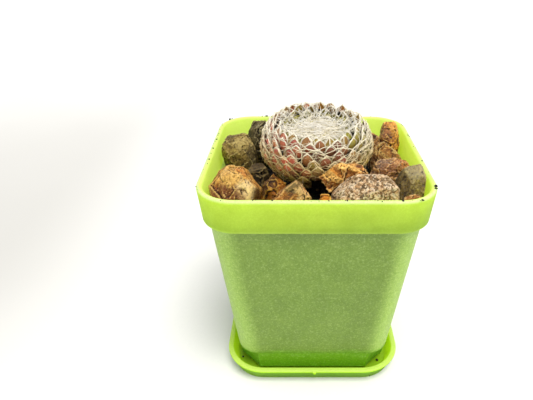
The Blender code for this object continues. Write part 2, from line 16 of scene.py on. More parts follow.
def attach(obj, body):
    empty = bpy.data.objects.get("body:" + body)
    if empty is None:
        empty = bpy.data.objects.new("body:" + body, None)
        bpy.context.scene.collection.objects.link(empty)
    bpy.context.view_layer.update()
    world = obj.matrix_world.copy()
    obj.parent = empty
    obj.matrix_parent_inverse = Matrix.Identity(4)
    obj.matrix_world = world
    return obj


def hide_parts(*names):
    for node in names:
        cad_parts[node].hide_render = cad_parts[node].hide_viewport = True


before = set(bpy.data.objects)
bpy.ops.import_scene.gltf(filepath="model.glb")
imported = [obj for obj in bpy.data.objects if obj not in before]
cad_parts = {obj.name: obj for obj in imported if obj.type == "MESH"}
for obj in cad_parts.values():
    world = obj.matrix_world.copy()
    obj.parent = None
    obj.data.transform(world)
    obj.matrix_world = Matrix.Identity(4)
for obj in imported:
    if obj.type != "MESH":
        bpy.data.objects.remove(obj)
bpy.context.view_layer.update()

MM = 0.001
NOISE_SEED = 12
GOLDEN_ANGLE = math.pi * (3 - math.sqrt(5))
IMAGE_WIDTH = 533

# The camera, solved from the rims of the pot and the saucer
CAMERA_PLACE = (-5.82, -156.98, 148.14)
CAMERA_PITCH = 29.13
CAMERA_YAW = 0.29
CAMERA_ROLL = 0.22
FOCAL_PIXELS = 475.95
SENSOR = 36.0
SIDE_SHIFT_PIXELS = -33.5

# The pot and the saucer, as in the CAD source
RIM_WIDTH = 75.0
RIM_TOP = 80.8
RIM_CORNER = 13.0
LIP = 1.9
BAND_HEIGHT = 11.7
BAND_FOOT_WIDTH = 72.9
BODY_TOP_WIDTH = 69.2
BODY_FOOT_WIDTH = 55.2
BODY_TOP_CORNER = 10.3
BODY_FOOT_CORNER = 7.4
WALL = 1.3
FOOT_LEVEL = 2.35
RECESS_HEIGHT = 8.2
RECESS_CUT = 1.06
FLOOR_RISE = 1.0
EDGE = 0.35
DRAIN_RADIUS = 2.0
DRAIN_OFFSET = 13.0
SAUCER_LIP_WIDTH = 66.4
SAUCER_BASE_WIDTH = 62.0
SAUCER_HEIGHT = 6.1
SAUCER_CORNER = 14.8
SAUCER_WALL = 1.3
SAUCER_FLOOR = 1.4
SAUCER_FLANGE = 0.7
RIB_HEIGHT = 0.6
RIB_WIDTH = 1.6
RIB_LENGTH = 46.0
RIB_OFFSET = 15.0
NUB_RADIUS = 0.55
SAUCER_OUTER_RINGS = 8  # bands of faces from the foot to just under the lip's edge
SOIL_LEVEL = 65.4
STEM_HOLE_RADIUS = 3.1
CORNER_STEPS = 18
BAND_FOOT = RIM_TOP - BAND_HEIGHT
RECESS_TOP = FOOT_LEVEL + RECESS_HEIGHT

# The rosette's rule, as in the CAD source
ROSETTE_CENTRE = (0.9, 4.0)
TIP_PROFILE = [
    (0.0, 88.2, 100), (6.0, 88.0, 112), (10.0, 88.5, 114), (12.6, 90.4, 110), (14.4, 91.6, 105), (16.4, 90.6, 101),
    (18.2, 88.0, 97), (19.5, 84.8, 92), (19.8, 81.2, 84), (18.2, 77.6, 73), (15.6, 74.5, 64), (12.6, 72.1, 57),
    (9.6, 70.6, 50),
]
ROSETTE_TILT = 6.0  # degrees, towards the front
ROSETTE_PIVOT = (0.9, 4.0, 80.0)
LEAF_COUNT = 341
LEAF_AREA = 11.4
YOUNG_AREA = 3.4
YOUNG_RADIUS = 14.0
LEAF_LENGTH = 6.4
LEAF_WIDTH = 4.0
LEAF_DEPTH = 1.6
LEAF_SINK = 4.2
CORE_SINK = 2.6
HEART_SINK = 3.1
STEM_RADIUS = 2.6
STEM_DEPTH = 10.0
FELT_REACH = 9.2
FELT_THREADS = 760
CROWN_REACH = 13.8
MAT_REACH = 12.4
DRAPE_THREADS = 1300
LONG_THREADS = 70
HOLLOW_TURNS = (-102, -58)
HOLLOW_LEVEL = 79.4
FELT_MIDDLE = (0.9, 3.2, 88.0)
MARGIN_RADII = (0.31, 0.19, 0.10)


class Graph:
    """A short way to write a material's nodes. Colours are (r, g, b), and values are sockets or numbers."""

    def __init__(self, name):
        self.material = bpy.data.materials.new(name)
        self.material.use_nodes = True
        self.tree = self.material.node_tree
        self.shader = self.tree.nodes["Principled BSDF"]
        self.output = self.tree.nodes["Material Output"]

    def set(self, socket, value):
        if isinstance(value, bpy.types.NodeSocket):
            self.tree.links.new(value, socket)
        elif isinstance(value, tuple) and socket.type == "RGBA":
            socket.default_value = (*value, 1.0)
        else:
            socket.default_value = value

    def node(self, kind, inputs=(), output=0, **settings):
        made = self.tree.nodes.new(kind)
        for key, value in settings.items():
            setattr(made, key, value)
        for key, value in dict(inputs).items():
            self.set(made.inputs[key], value)
        return made.outputs[output]

    def place(self):
        """Where a point is, in metres, as an upright object at the origin has it."""
        return self.node("ShaderNodeTexCoord", output="Object")

    def parts(self, vector):
        made = self.node("ShaderNodeSeparateXYZ", {0: vector}).node
        return made.outputs[0], made.outputs[1], made.outputs[2]

    def math(self, operation, *values, clamp=False):
        return self.node("ShaderNodeMath", dict(enumerate(values)), operation=operation, use_clamp=clamp)

    def stretch(self, vector, amounts):
        return self.node("ShaderNodeMapping", {"Vector": vector, "Scale": amounts})

    def noise(self, size, detail=3.0, rough=0.55, distort=0.0, vector=None, output=0):
        """Noise from 0 to 1 with lumps of about size millimetres."""
        inputs = {"Vector": vector or self.place(), "Scale": 1 / (size * MM), "Detail": detail,
                  "Roughness": rough, "Distortion": distort}
        return self.node("ShaderNodeTexNoise", inputs, output)

    def cells(self, size, feature="F1", vector=None, output=0, randomness=1.0):
        inputs = {"Vector": vector or self.place(), "Scale": 1 / (size * MM), "Randomness": randomness}
        return self.node("ShaderNodeTexVoronoi", inputs, output, feature=feature)

    def ranged(self, value, low, high, out_low=0.0, out_high=1.0):
        """value from low..high, eased, to out_low..out_high and no further."""
        inputs = {"Value": value, "From Min": low, "From Max": high, "To Min": out_low, "To Max": out_high}
        return self.node("ShaderNodeMapRange", inputs, interpolation_type="SMOOTHSTEP")

    def ramp(self, value, stops):
        made = self.node("ShaderNodeValToRGB", {0: value}).node
        while len(made.color_ramp.elements) < len(stops):
            made.color_ramp.elements.new(0.5)
        for element, (at, colour) in zip(made.color_ramp.elements, stops):
            element.position = at
            element.color = (*colour, 1.0)
        return made.outputs[0]

    def mix(self, share, first, second, blend="MIX"):
        made = self.tree.nodes.new("ShaderNodeMix")
        made.data_type = "RGBA"
        made.blend_type = blend
        self.set(made.inputs[0], share)
        self.set(made.inputs[6], first)
        self.set(made.inputs[7], second)
        return made.outputs[2]

    def bump(self, height, depth, after=None):
        """A normal from a height of 0 to 1 that stands for depth millimetres."""
        inputs = {"Height": height, "Distance": depth * MM, "Strength": 1.0}
        if after:
            inputs["Normal"] = after
        return self.node("ShaderNodeBump", inputs)

    def finish(self, colour, roughness, normal=None, **uniform):
        self.set(self.shader.inputs["Base Color"], colour)
        self.set(self.shader.inputs["Roughness"], roughness)
        if normal:
            self.set(self.shader.inputs["Normal"], normal)
        for key, value in uniform.items():
            self.shader.inputs[key.replace("_", " ").title().replace("Ior", "IOR")].default_value = value
        return self.material

    def let_light_through(self, share, colour):
        """Mixes in a translucent shader, for thin plastic and hairs that glow with light from behind."""
        through = self.node("ShaderNodeBsdfTranslucent", {"Color": colour})
        both = self.node("ShaderNodeMixShader", {0: share, 1: self.shader.outputs[0], 2: through})
        self.tree.links.new(both, self.output.inputs["Surface"])


def add_object(name, points, faces, material, smooth=180.0):
    """An object made of points in millimetres."""
    mesh = bpy.data.meshes.new(name)
    mesh.from_pydata((np.asarray(points) * MM).tolist(), [], [tuple(face) for face in faces])
    if material:
        mesh.materials.append(material)
    mesh.shade_smooth()
    if smooth < 180:
        mesh.set_sharp_from_angle(angle=math.radians(smooth))
    made = bpy.data.objects.new(name, mesh)
    bpy.context.scene.collection.objects.link(made)
    return made


def settle(made):
    """Keeps an object's shape as its modifiers give it."""
    graph = bpy.context.evaluated_depsgraph_get()
    mesh = bpy.data.meshes.new_from_object(made.evaluated_get(graph))
    made.modifiers.clear()
    made.data = mesh


def rounded_square(half, corner, cut=0.0):
    """Corner points of a rounded square, anticlockwise. cut draws each arc in towards its chord."""
    points = []
    for quarter in range(4):
        turn = complex(0, 1) ** quarter
        for step in range(CORNER_STEPS + 1):
            share = step / CORNER_STEPS
            angle = share * math.pi / 2
            arc = complex(half - corner + corner * math.cos(angle), half - corner + corner * math.sin(angle))
            chord = complex(half - corner * share, half - corner * (1 - share))
            place = (arc + (chord - arc) * cut) * turn
            points.append((place.real, place.imag))
    return np.array(points)


def at_level(outline, level):
    return np.column_stack([outline, np.full(len(outline), level)])


def stacked(rings):
    """Points and faces of a closed skin through rings that run from under the shape, out, up and in."""
    count = len(rings[0])
    faces = [tuple(reversed(range(count)))]
    for level in range(len(rings) - 1):
        for side in range(count):
            low, low_next = level * count + side, level * count + (side + 1) % count
            faces.append((low, low_next, low_next + count, low + count))
    last = (len(rings) - 1) * count
    faces.append(tuple(range(last, last + count)))
    return np.vstack(rings), faces


def eased(start, end, steps, bulge):
    """(across, up) points of a quarter round from start to end, which leaves start the way bulge says."""
    (x0, z0), (x1, z1) = start, end
    rows = []
    for step in range(1, steps):
        angle = step / steps * math.pi / 2
        first, second = math.sin(angle), 1 - math.cos(angle)
        rows.append((x0 + (x1 - x0) * (first if bulge == "across" else second),
                     z0 + (z1 - z0) * (second if bulge == "across" else first)))
    return rows


def body_half(level):
    share = (level - FOOT_LEVEL) / (BAND_FOOT - FOOT_LEVEL)
    return (BODY_FOOT_WIDTH + (BODY_TOP_WIDTH - BODY_FOOT_WIDTH) * share) / 2


def body_corner(level):
    share = (level - FOOT_LEVEL) / (BAND_FOOT - FOOT_LEVEL)
    return BODY_FOOT_CORNER + (BODY_TOP_CORNER - BODY_FOOT_CORNER) * share


def body_ring(level, inset=0.0, cut=0.0):
    return at_level(rounded_square(body_half(level) - inset, body_corner(level) - inset, cut), level)


def drum(name, radius, low, high, place, sides=24):
    angles = np.arange(sides) * math.tau / sides
    outline = np.column_stack([place[0] + radius * np.cos(angles), place[1] + radius * np.sin(angles)])
    return add_object(name, *stacked([at_level(outline, low), at_level(outline, high)]), None)


def boolean(made, other, operation):
    modifier = made.modifiers.new(operation.title(), "BOOLEAN")
    modifier.operation = operation
    modifier.object = other


def cut_away(made, cutters, operation="DIFFERENCE"):
    for cutter in cutters:
        boolean(made, cutter, operation)
    settle(made)
    for cutter in cutters:
        bpy.data.objects.remove(cutter)
    made.data.shade_smooth()
    made.data.set_sharp_from_angle(angle=math.radians(40))


def make_pot():
    """The pot again with rounder corners and lip, the same sizes as the CAD one, in its two finishes."""
    half_rim, half_foot = RIM_WIDTH / 2, BAND_FOOT_WIDTH / 2
    under_floor = FOOT_LEVEL + FLOOR_RISE

    def band(half, level):
        return at_level(rounded_square(half, RIM_CORNER - (half_rim - half)), level)

    lip_out = [(half_rim, RIM_TOP - 0.9), *eased((half_rim, RIM_TOP - 0.9), (half_rim - 0.9, RIM_TOP), 6, "up")]
    lip_in = [(half_rim - LIP + 0.9, RIM_TOP),
              *eased((half_rim - LIP + 0.9, RIM_TOP), (half_rim - LIP, RIM_TOP - 0.9), 6, "across")]
    foot_turn = eased((half_foot - EDGE, BAND_FOOT), (half_foot, BAND_FOOT + EDGE), 4, "across")
    outside = [
        body_ring(under_floor, WALL, RECESS_CUT),
        body_ring(FOOT_LEVEL + 0.1, WALL, RECESS_CUT),
        body_ring(FOOT_LEVEL, WALL - 0.2, RECESS_CUT),
        body_ring(FOOT_LEVEL, 0.25, RECESS_CUT),
        body_ring(FOOT_LEVEL + 0.25, 0.0, RECESS_CUT),
        body_ring(RECESS_TOP, 0.0, RECESS_CUT),
        body_ring(RECESS_TOP, 0.15),
        body_ring(RECESS_TOP + 0.15),
        *[body_ring(level) for level in np.linspace(RECESS_TOP + 4, BAND_FOOT - 0.5, 9)],
        body_ring(BAND_FOOT - 0.15, -0.1),
        body_ring(BAND_FOOT, -0.4),
        band(half_foot - EDGE, BAND_FOOT),
        *[band(half, level) for half, level in foot_turn],
        band(half_foot, BAND_FOOT + EDGE),
        *[band(half, level) for half, level in lip_out],
    ]
    inside = [
        *[band(half, level) for half, level in lip_in],
        band(half_rim - LIP, RIM_TOP - 0.9),
        band(half_foot - WALL, BAND_FOOT + WALL + 0.2),
        body_ring(BAND_FOOT + WALL, WALL - 1.5),
        body_ring(BAND_FOOT + WALL, WALL + 0.2),
        body_ring(BAND_FOOT + WALL - 0.4, WALL),
        body_ring(RECESS_TOP + WALL, WALL),
        body_ring(RECESS_TOP + WALL, WALL, RECESS_CUT),
        body_ring(under_floor + WALL, WALL, RECESS_CUT),
    ]
    outside.append(band(half_rim - 0.9, RIM_TOP))
    pot = add_object("pot_plastic", *stacked([*outside, *inside]), pot_body())
    pot.data.materials.append(pot_band())
    pot.data.materials.append(pot_inside())
    count = len(outside[0])
    first_inside = 1 + (len(outside) - 1) * count
    for polygon in pot.data.polygons:
        in_band = polygon.center.z > (BAND_FOOT + 0.01) * MM
        polygon.material_index = 2 if polygon.index >= first_inside else int(in_band)
    places = [(0.0, 0.0)] + [(x * DRAIN_OFFSET, y * DRAIN_OFFSET) for x in (-1, 1) for y in (-1, 1)]
    cut_away(pot, [drum(f"drain_{number}", DRAIN_RADIUS, under_floor - 2, under_floor + WALL + 2, place)
                   for number, place in enumerate(places)])
    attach(pot, "root")
    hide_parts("pot")


def make_saucer():
    """The saucer with a rounded lip, ribs, soft inner corners and the moulding nub at the front."""
    base, lip = SAUCER_BASE_WIDTH / 2, SAUCER_LIP_WIDTH / 2
    flange_foot = SAUCER_HEIGHT - 2 * EDGE - 0.3

    def dish(half, level):
        return at_level(rounded_square(half, SAUCER_CORNER - (lip - half)), level)

    inner = lip - SAUCER_FLANGE - SAUCER_WALL
    profile = [
        (base - 0.6, 0.0),
        *eased((base - 0.6, 0.0), (base, 0.6), 5, "across"),
        (base, 0.6),
        (lip - SAUCER_FLANGE, flange_foot - 0.1),
        (lip - SAUCER_FLANGE + 0.15, flange_foot),
        (lip - 0.1, flange_foot + 0.1),
        (lip, flange_foot + EDGE),
        (lip, SAUCER_HEIGHT - 0.5),
        *eased((lip, SAUCER_HEIGHT - 0.5), (lip - 0.5, SAUCER_HEIGHT), 5, "up"),
        (lip - 0.5, SAUCER_HEIGHT),
        (inner + 0.5, SAUCER_HEIGHT),
        *eased((inner + 0.5, SAUCER_HEIGHT), (inner, SAUCER_HEIGHT - 0.5), 5, "across"),
        (inner, SAUCER_HEIGHT - 0.5),
        (base - SAUCER_WALL, SAUCER_FLOOR + 1.2),
        *[(across, up) for across, up in
          eased((base - SAUCER_WALL, SAUCER_FLOOR + 1.2), (base - SAUCER_WALL - 1.2, SAUCER_FLOOR), 5, "up")],
        (base - SAUCER_WALL - 1.2, SAUCER_FLOOR),
    ]
    saucer = add_object("saucer_plastic", *stacked([dish(half, level) for half, level in profile]), saucer_finish())
    saucer.data.materials.append(saucer_outside())
    walls = 1 + SAUCER_OUTER_RINGS * len(rounded_square(1, 1))
    for polygon in saucer.data.polygons:
        polygon.material_index = int(polygon.index < walls)
    additions = []
    for number, (along, offset) in enumerate([(0, -1), (0, 1), (1, -1), (1, 1)]):
        half = np.array([RIB_LENGTH, RIB_WIDTH]) / 2
        shift = np.array([0, offset * RIB_OFFSET])
        low, high = shift - half, shift + half
        outline = np.array([(low[0], low[1]), (high[0], low[1]), (high[0], high[1]), (low[0], high[1])])
        if along:
            outline = np.column_stack([-outline[:, 1], outline[:, 0]])
        rib = stacked([at_level(outline, SAUCER_FLOOR - 0.7), at_level(outline, SAUCER_FLOOR + RIB_HEIGHT)])
        additions.append(add_object(f"rib_{number}", *rib, None))
    additions.append(drum("nub", NUB_RADIUS, SAUCER_HEIGHT - 1.1, SAUCER_HEIGHT - 0.1, (0.5, -lip)))
    cut_away(saucer, additions, "UNION")
    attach(saucer, "root")
    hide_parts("saucer")


def srgb(red, green, blue):
    """A colour as a screen shows it, 0 to 255, in the linear values that shaders take."""
    return tuple(channel / 3294.6 if channel <= 10 else ((channel / 255 + 0.055) / 1.055) ** 2.4
                 for channel in (red, green, blue))


def moulded_plastic(graph, colour, grain=1.0):
    """The fine matt grain and faint ripples of thin moulded plastic, on a colour socket."""
    fine = graph.noise(0.5, 3.0, 0.7)
    ripple = graph.noise(9.0, 2.0)
    coarse = graph.noise(0.8, 3.0, 0.9)
    speckled = graph.mix(graph.ranged(fine, 0.35, 0.65, 0.0, 0.36 * grain), colour, (0.34, 0.55, 0.12), "MULTIPLY")
    speckled = graph.mix(graph.ranged(coarse, 0.44, 0.58, 0.30 * grain, 0.0), speckled, (0.42, 0.52, 0.30), "MULTIPLY")
    speckled = graph.mix(graph.ranged(coarse, 0.52, 0.68, 0.0, 0.12 * grain), speckled, srgb(236, 250, 186))
    height = graph.math("ADD", graph.math("MULTIPLY", fine, 0.2), ripple)
    roughness = graph.ranged(graph.noise(2.2, 3.0), 0.3, 0.7, 0.42, 0.58)
    return speckled, roughness, graph.bump(height, 0.10)


def pot_body():
    """Lime plastic with painted shade for the dark soil behind it, painted lighter at the corners, where the soil
    stands further back, and a painted green glow at the foot, where no soil stands behind it.
    """
    graph = Graph("pot_lime_body_painted_shade")
    x, y, z = graph.parts(graph.place())
    clouds = graph.noise(9.0, 4.0, 0.6)
    wide = graph.ranged(z, FOOT_LEVEL * MM, BAND_FOOT * MM, body_half(FOOT_LEVEL) * MM, body_half(BAND_FOOT) * MM)
    nearer = graph.math("MINIMUM", graph.math("ABSOLUTE", x), graph.math("ABSOLUTE", y))
    corner = graph.ranged(graph.math("DIVIDE", nearer, wide), 0.66, 0.88)
    # painted shade: the plastic darkened to olive where the dark soil stands behind it
    painted_soil_shade = graph.ramp(clouds, [(0.30, srgb(113, 140, 48)), (0.50, srgb(119, 147, 52)),
                                    (0.70, srgb(126, 153, 58))])
    # painted light: the corners lighter, where the soil stands further back
    colour = graph.mix(corner, painted_soil_shade, srgb(166, 198, 88))
    # painted glow: a saturated green at the foot, with a ragged top edge
    glow = graph.ranged(graph.math("ADD", z, graph.math("MULTIPLY", clouds, 4.0 * MM)), 15.0 * MM, 11.5 * MM)
    colour = graph.mix(graph.math("MULTIPLY", glow, 0.9), colour, srgb(106, 160, 2))
    colour, roughness, normal = moulded_plastic(graph, colour)
    return graph.finish(colour, roughness, normal)


def pot_band():
    """The band stands clear of the soil, so light comes through it. Its top edge and its lower edge carry painted
    highlights.
    """
    graph = Graph("pot_lime_band")
    z = graph.parts(graph.place())[2]
    clouds = graph.noise(5.0, 4.0, 0.6)
    colour = graph.mix(graph.ranged(clouds, 0.35, 0.65), srgb(180, 206, 84), srgb(198, 226, 96))
    colour = graph.mix(graph.ranged(z, (BAND_FOOT + 5) * MM, BAND_FOOT * MM, 0.0, 0.35), colour, srgb(150, 188, 62))
    # painted highlight: the lip's top edge paler, where light catches it
    lip = graph.ranged(z, (RIM_TOP - 1.0) * MM, (RIM_TOP - 0.1) * MM)
    colour = graph.mix(lip, colour, srgb(252, 254, 222))
    # painted highlight: a pale line along the band's lower edge
    painted_hem_highlight = graph.math("MULTIPLY", graph.ranged(z, (BAND_FOOT - 0.4) * MM, BAND_FOOT * MM),
                     graph.ranged(z, (BAND_FOOT + 1.1) * MM, (BAND_FOOT + 0.3) * MM))
    colour = graph.mix(graph.math("MULTIPLY", painted_hem_highlight, 0.6), colour, srgb(216, 244, 128))
    colour, roughness, normal = moulded_plastic(graph, colour, 0.7)
    graph.finish(colour, roughness, normal)
    graph.let_light_through(0.6, srgb(232, 255, 100))
    return graph.material


def pot_inside():
    """The inner face of the band, painted pale for the light that comes through the plastic, with soil stains low
    down.
    """
    graph = Graph("pot_lime_inside_painted_light")
    z = graph.parts(graph.place())[2]
    stain = graph.noise(2.2, 6.0, 0.75)
    low = graph.ranged(z, (SOIL_LEVEL + 13) * MM, (SOIL_LEVEL + 4) * MM, 0.0, 0.5)
    # painted light: the pale colour stands for light shining through the band
    colour = graph.mix(graph.noise(7.0), srgb(234, 255, 150), srgb(244, 255, 176))
    specks = graph.math("GREATER_THAN", stain, graph.math("SUBTRACT", 0.78, graph.math("MULTIPLY", low, 0.16)))
    colour = graph.mix(graph.math("MULTIPLY", specks, 0.7), colour, srgb(120, 150, 40))
    colour, roughness, normal = moulded_plastic(graph, colour, 0.35)
    graph.finish(colour, roughness, normal)
    graph.let_light_through(0.6, srgb(246, 255, 160))
    return graph.material


def saucer_finish():
    graph = Graph("saucer_lime")
    x, y, z = graph.parts(graph.place())
    colour = graph.mix(graph.noise(8.0), srgb(190, 250, 30), srgb(206, 255, 52))
    # painted highlight: the lip's top edge paler, where light catches it
    lip = graph.ranged(z, (SAUCER_HEIGHT - 0.7) * MM, (SAUCER_HEIGHT - 0.1) * MM)
    colour = graph.mix(graph.math("MULTIPLY", lip, 0.85), colour, srgb(238, 252, 150))
    grime = graph.math("MULTIPLY", graph.ranged(graph.noise(2.0, 6.0, 0.75), 0.60, 0.72),
                       graph.ranged(z, 3.5 * MM, 1.4 * MM))
    colour = graph.mix(graph.math("MULTIPLY", grime, 0.55), colour, srgb(84, 112, 20))
    colour, roughness, normal = moulded_plastic(graph, colour, 0.5)
    graph.finish(colour, roughness, normal)
    graph.let_light_through(0.6, srgb(232, 255, 70))
    return graph.material


def saucer_outside():
    """The saucer's outer wall, which stands in its own lip's shade and mirrors the grey of the table: both are
    painted, as painted shade and a painted grey reflection.
    """
    graph = Graph("saucer_lime_outside_painted_shade")
    z = graph.parts(graph.place())[2]
    clouds = graph.noise(6.0, 4.0, 0.6)
    # painted reflection: the grey-green of the table mirrored in the wall
    colour = graph.mix(clouds, srgb(116, 130, 84), srgb(130, 144, 98))
    # painted shade: darker and greener up towards the lip that shades the wall
    colour = graph.mix(graph.ranged(z, 1.5 * MM, (SAUCER_HEIGHT - 1.2) * MM, 0.0, 0.5), colour, srgb(84, 120, 40))
    colour, roughness, normal = moulded_plastic(graph, colour, 0.8)
    graph.finish(colour, roughness, normal)
    graph.let_light_through(0.7, srgb(214, 244, 130))
    return graph.material


# Each rock's look: its deep, main and light colour, its roughness, and the colour and share of its flecks
ROCKS = {
    "olive": (srgb(48, 42, 18), srgb(132, 112, 48), srgb(192, 174, 96), 0.55, (srgb(232, 222, 170), 0.10)),
    "slate": (srgb(22, 19, 10), srgb(84, 70, 36), srgb(146, 130, 84), 0.55, (srgb(196, 186, 140), 0.06)),
    "ochre": (srgb(96, 48, 10), srgb(212, 142, 50), srgb(250, 208, 116), 0.42, (srgb(255, 236, 180), 0.14)),
    "amber": (srgb(78, 40, 4), srgb(198, 120, 16), srgb(244, 180, 62), 0.38, (srgb(255, 224, 140), 0.07)),
    "tan": (srgb(110, 58, 14), srgb(216, 142, 58), srgb(246, 200, 116), 0.48, (srgb(255, 232, 176), 0.10)),
    "brown": (srgb(60, 34, 10), srgb(160, 104, 42), srgb(216, 164, 92), 0.50, (srgb(246, 216, 160), 0.10)),
    "granite": (srgb(70, 52, 28), srgb(186, 146, 92), srgb(230, 198, 148), 0.45, (srgb(255, 244, 216), 0.12)),
}
# Places on single stones with a colour of their own, some of them partly painted light or shade: middle in
# millimetres, radius, colour and how much of it
PATCHES = {
    # pale crystals, partly a painted highlight on them
    "stone_ochre_large": [((-21.0, -25.0, 78.0), 5.6, srgb(255, 238, 196), 1.0),
                          # brown front face, partly painted shade
                          ((-30.0, -27.0, 73.0), 8.5, srgb(136, 78, 38), 0.9),
                          # cream top face, partly painted light
                          ((-27.5, -20.5, 82.0), 4.6, srgb(240, 196, 116), 0.9),
                          ((-24.0, -17.0, 83.0), 3.2, srgb(226, 132, 44), 0.8),
                          ((-17.0, -20.4, 73.5), 4.0, srgb(84, 60, 30), 0.8)],
    "stone_ochre_bright": [((-16.6, -16.2, 75.0), 4.2, srgb(92, 56, 18), 0.9)],
    "stone_brown_pyramid": [((-7.4, -24.5, 82.0), 5.0, srgb(142, 130, 92), 0.8),
                            ((-11.8, -29.6, 77.0), 3.6, srgb(206, 130, 58), 0.8),
                            # pale right corner, partly painted light
                            ((-3.4, -27.5, 78.5), 3.2, srgb(246, 214, 160), 0.8)],
    "stone_tan_wedge": [((2.0, -12.5, 79.0), 5.0, srgb(218, 126, 48), 0.85),
                        ((8.5, -15.0, 85.5), 4.6, srgb(238, 176, 98), 0.7),
                        ((18.0, -11.0, 81.0), 3.6, srgb(178, 134, 100), 0.8)],
    "stone_granite": [((6.2, -29.5, 77.0), 3.6, srgb(180, 128, 60), 0.8),
                      ((17.0, -24.0, 82.0), 3.4, srgb(112, 96, 70), 0.7)],
    # painted highlight: pale glints on the top
    "stone_dark_egg": [((31.8, -20.5, 84.0), 4.2, srgb(206, 198, 160), 0.55)],
    # orange right end, partly a painted highlight
    "stone_brown_flat": [((32.6, -6.0, 78.5), 4.8, srgb(214, 128, 48), 0.85),
                         ((27.0, -9.5, 75.0), 5.0, srgb(178, 110, 46), 0.8),
                         ((23.5, -3.0, 80.0), 4.6, srgb(156, 118, 86), 0.7)],
    "stone_striped": [((23.4, 5.0, 73.0), 4.6, srgb(134, 84, 26), 0.9)],
    "stone_orange_back": [((32.6, 16.6, 84.0), 4.4, srgb(240, 168, 62), 0.85),
                          ((27.0, 19.0, 79.0), 4.4, srgb(140, 84, 26), 0.8)],
    # tan top face, partly painted light
    "stone_olive_block": [((-25.5, 4.4, 82.5), 4.6, srgb(206, 190, 128), 0.7),
                          # dark side, partly painted shade
                          ((-21.6, 4.0, 77.5), 4.4, srgb(78, 72, 52), 0.7)],
    "stone_dark_behind": [((-20.6, 19.6, 82.5), 3.0, srgb(176, 168, 132), 0.6)],
}
# Stones in layers: how far apart the layers are, which way they face, and how far they stand proud
STRATA = {
    "stone_striped": (1.25, (0.25, -0.45, 0.86), 0.5),
    "stone_ochre_large": (1.1, (0.45, -0.5, 0.75), 0.22),
    "stone_brown_flat": (1.6, (0.1, 0.1, 1.0), 0.3),
    "stone_tan_wedge": (2.4, (0.25, -0.3, 0.9), 0.35),
    "stone_brown_pyramid": (1.4, (-0.45, -0.2, 0.85), 0.25),
}
# Stones darker or lighter than others of their kind
TONES = {
    "stone_ochre_large": (0.82, 0.74, 0.60), "stone_tan_wedge": (1.12, 1.08, 0.95), "stone_ochre_bright": (0.62, 0.60, 0.45), "stone_striped": (0.64, 0.66, 0.60),
    "stone_brown_pyramid": (0.90, 0.84, 0.70), "stone_dark_egg": (0.85, 0.80, 0.70), "stone_olive_block": (0.88, 0.82, 0.70),
    "stone_dark_left": (0.75, 0.64, 0.5), "stone_granite": (0.92, 0.86, 0.76),
}
# How broken a stone's skin is, from 0, worn smooth, to 1, where it isn't 1
WORN = {"stone_dark_egg": 0.3, "stone_granite": 0.45, "stone_olive_block": 0.7}
FINE_VOXEL = 0.36
COARSE_VOXEL = 0.8
HIDDEN_STONES = ("stone_back_left", "stone_back_a", "stone_back_b", "stone_back_c", "stone_back_corner",
                 "stone_low_right", "stone_low_front", "stone_low_left", "stone_low_middle")


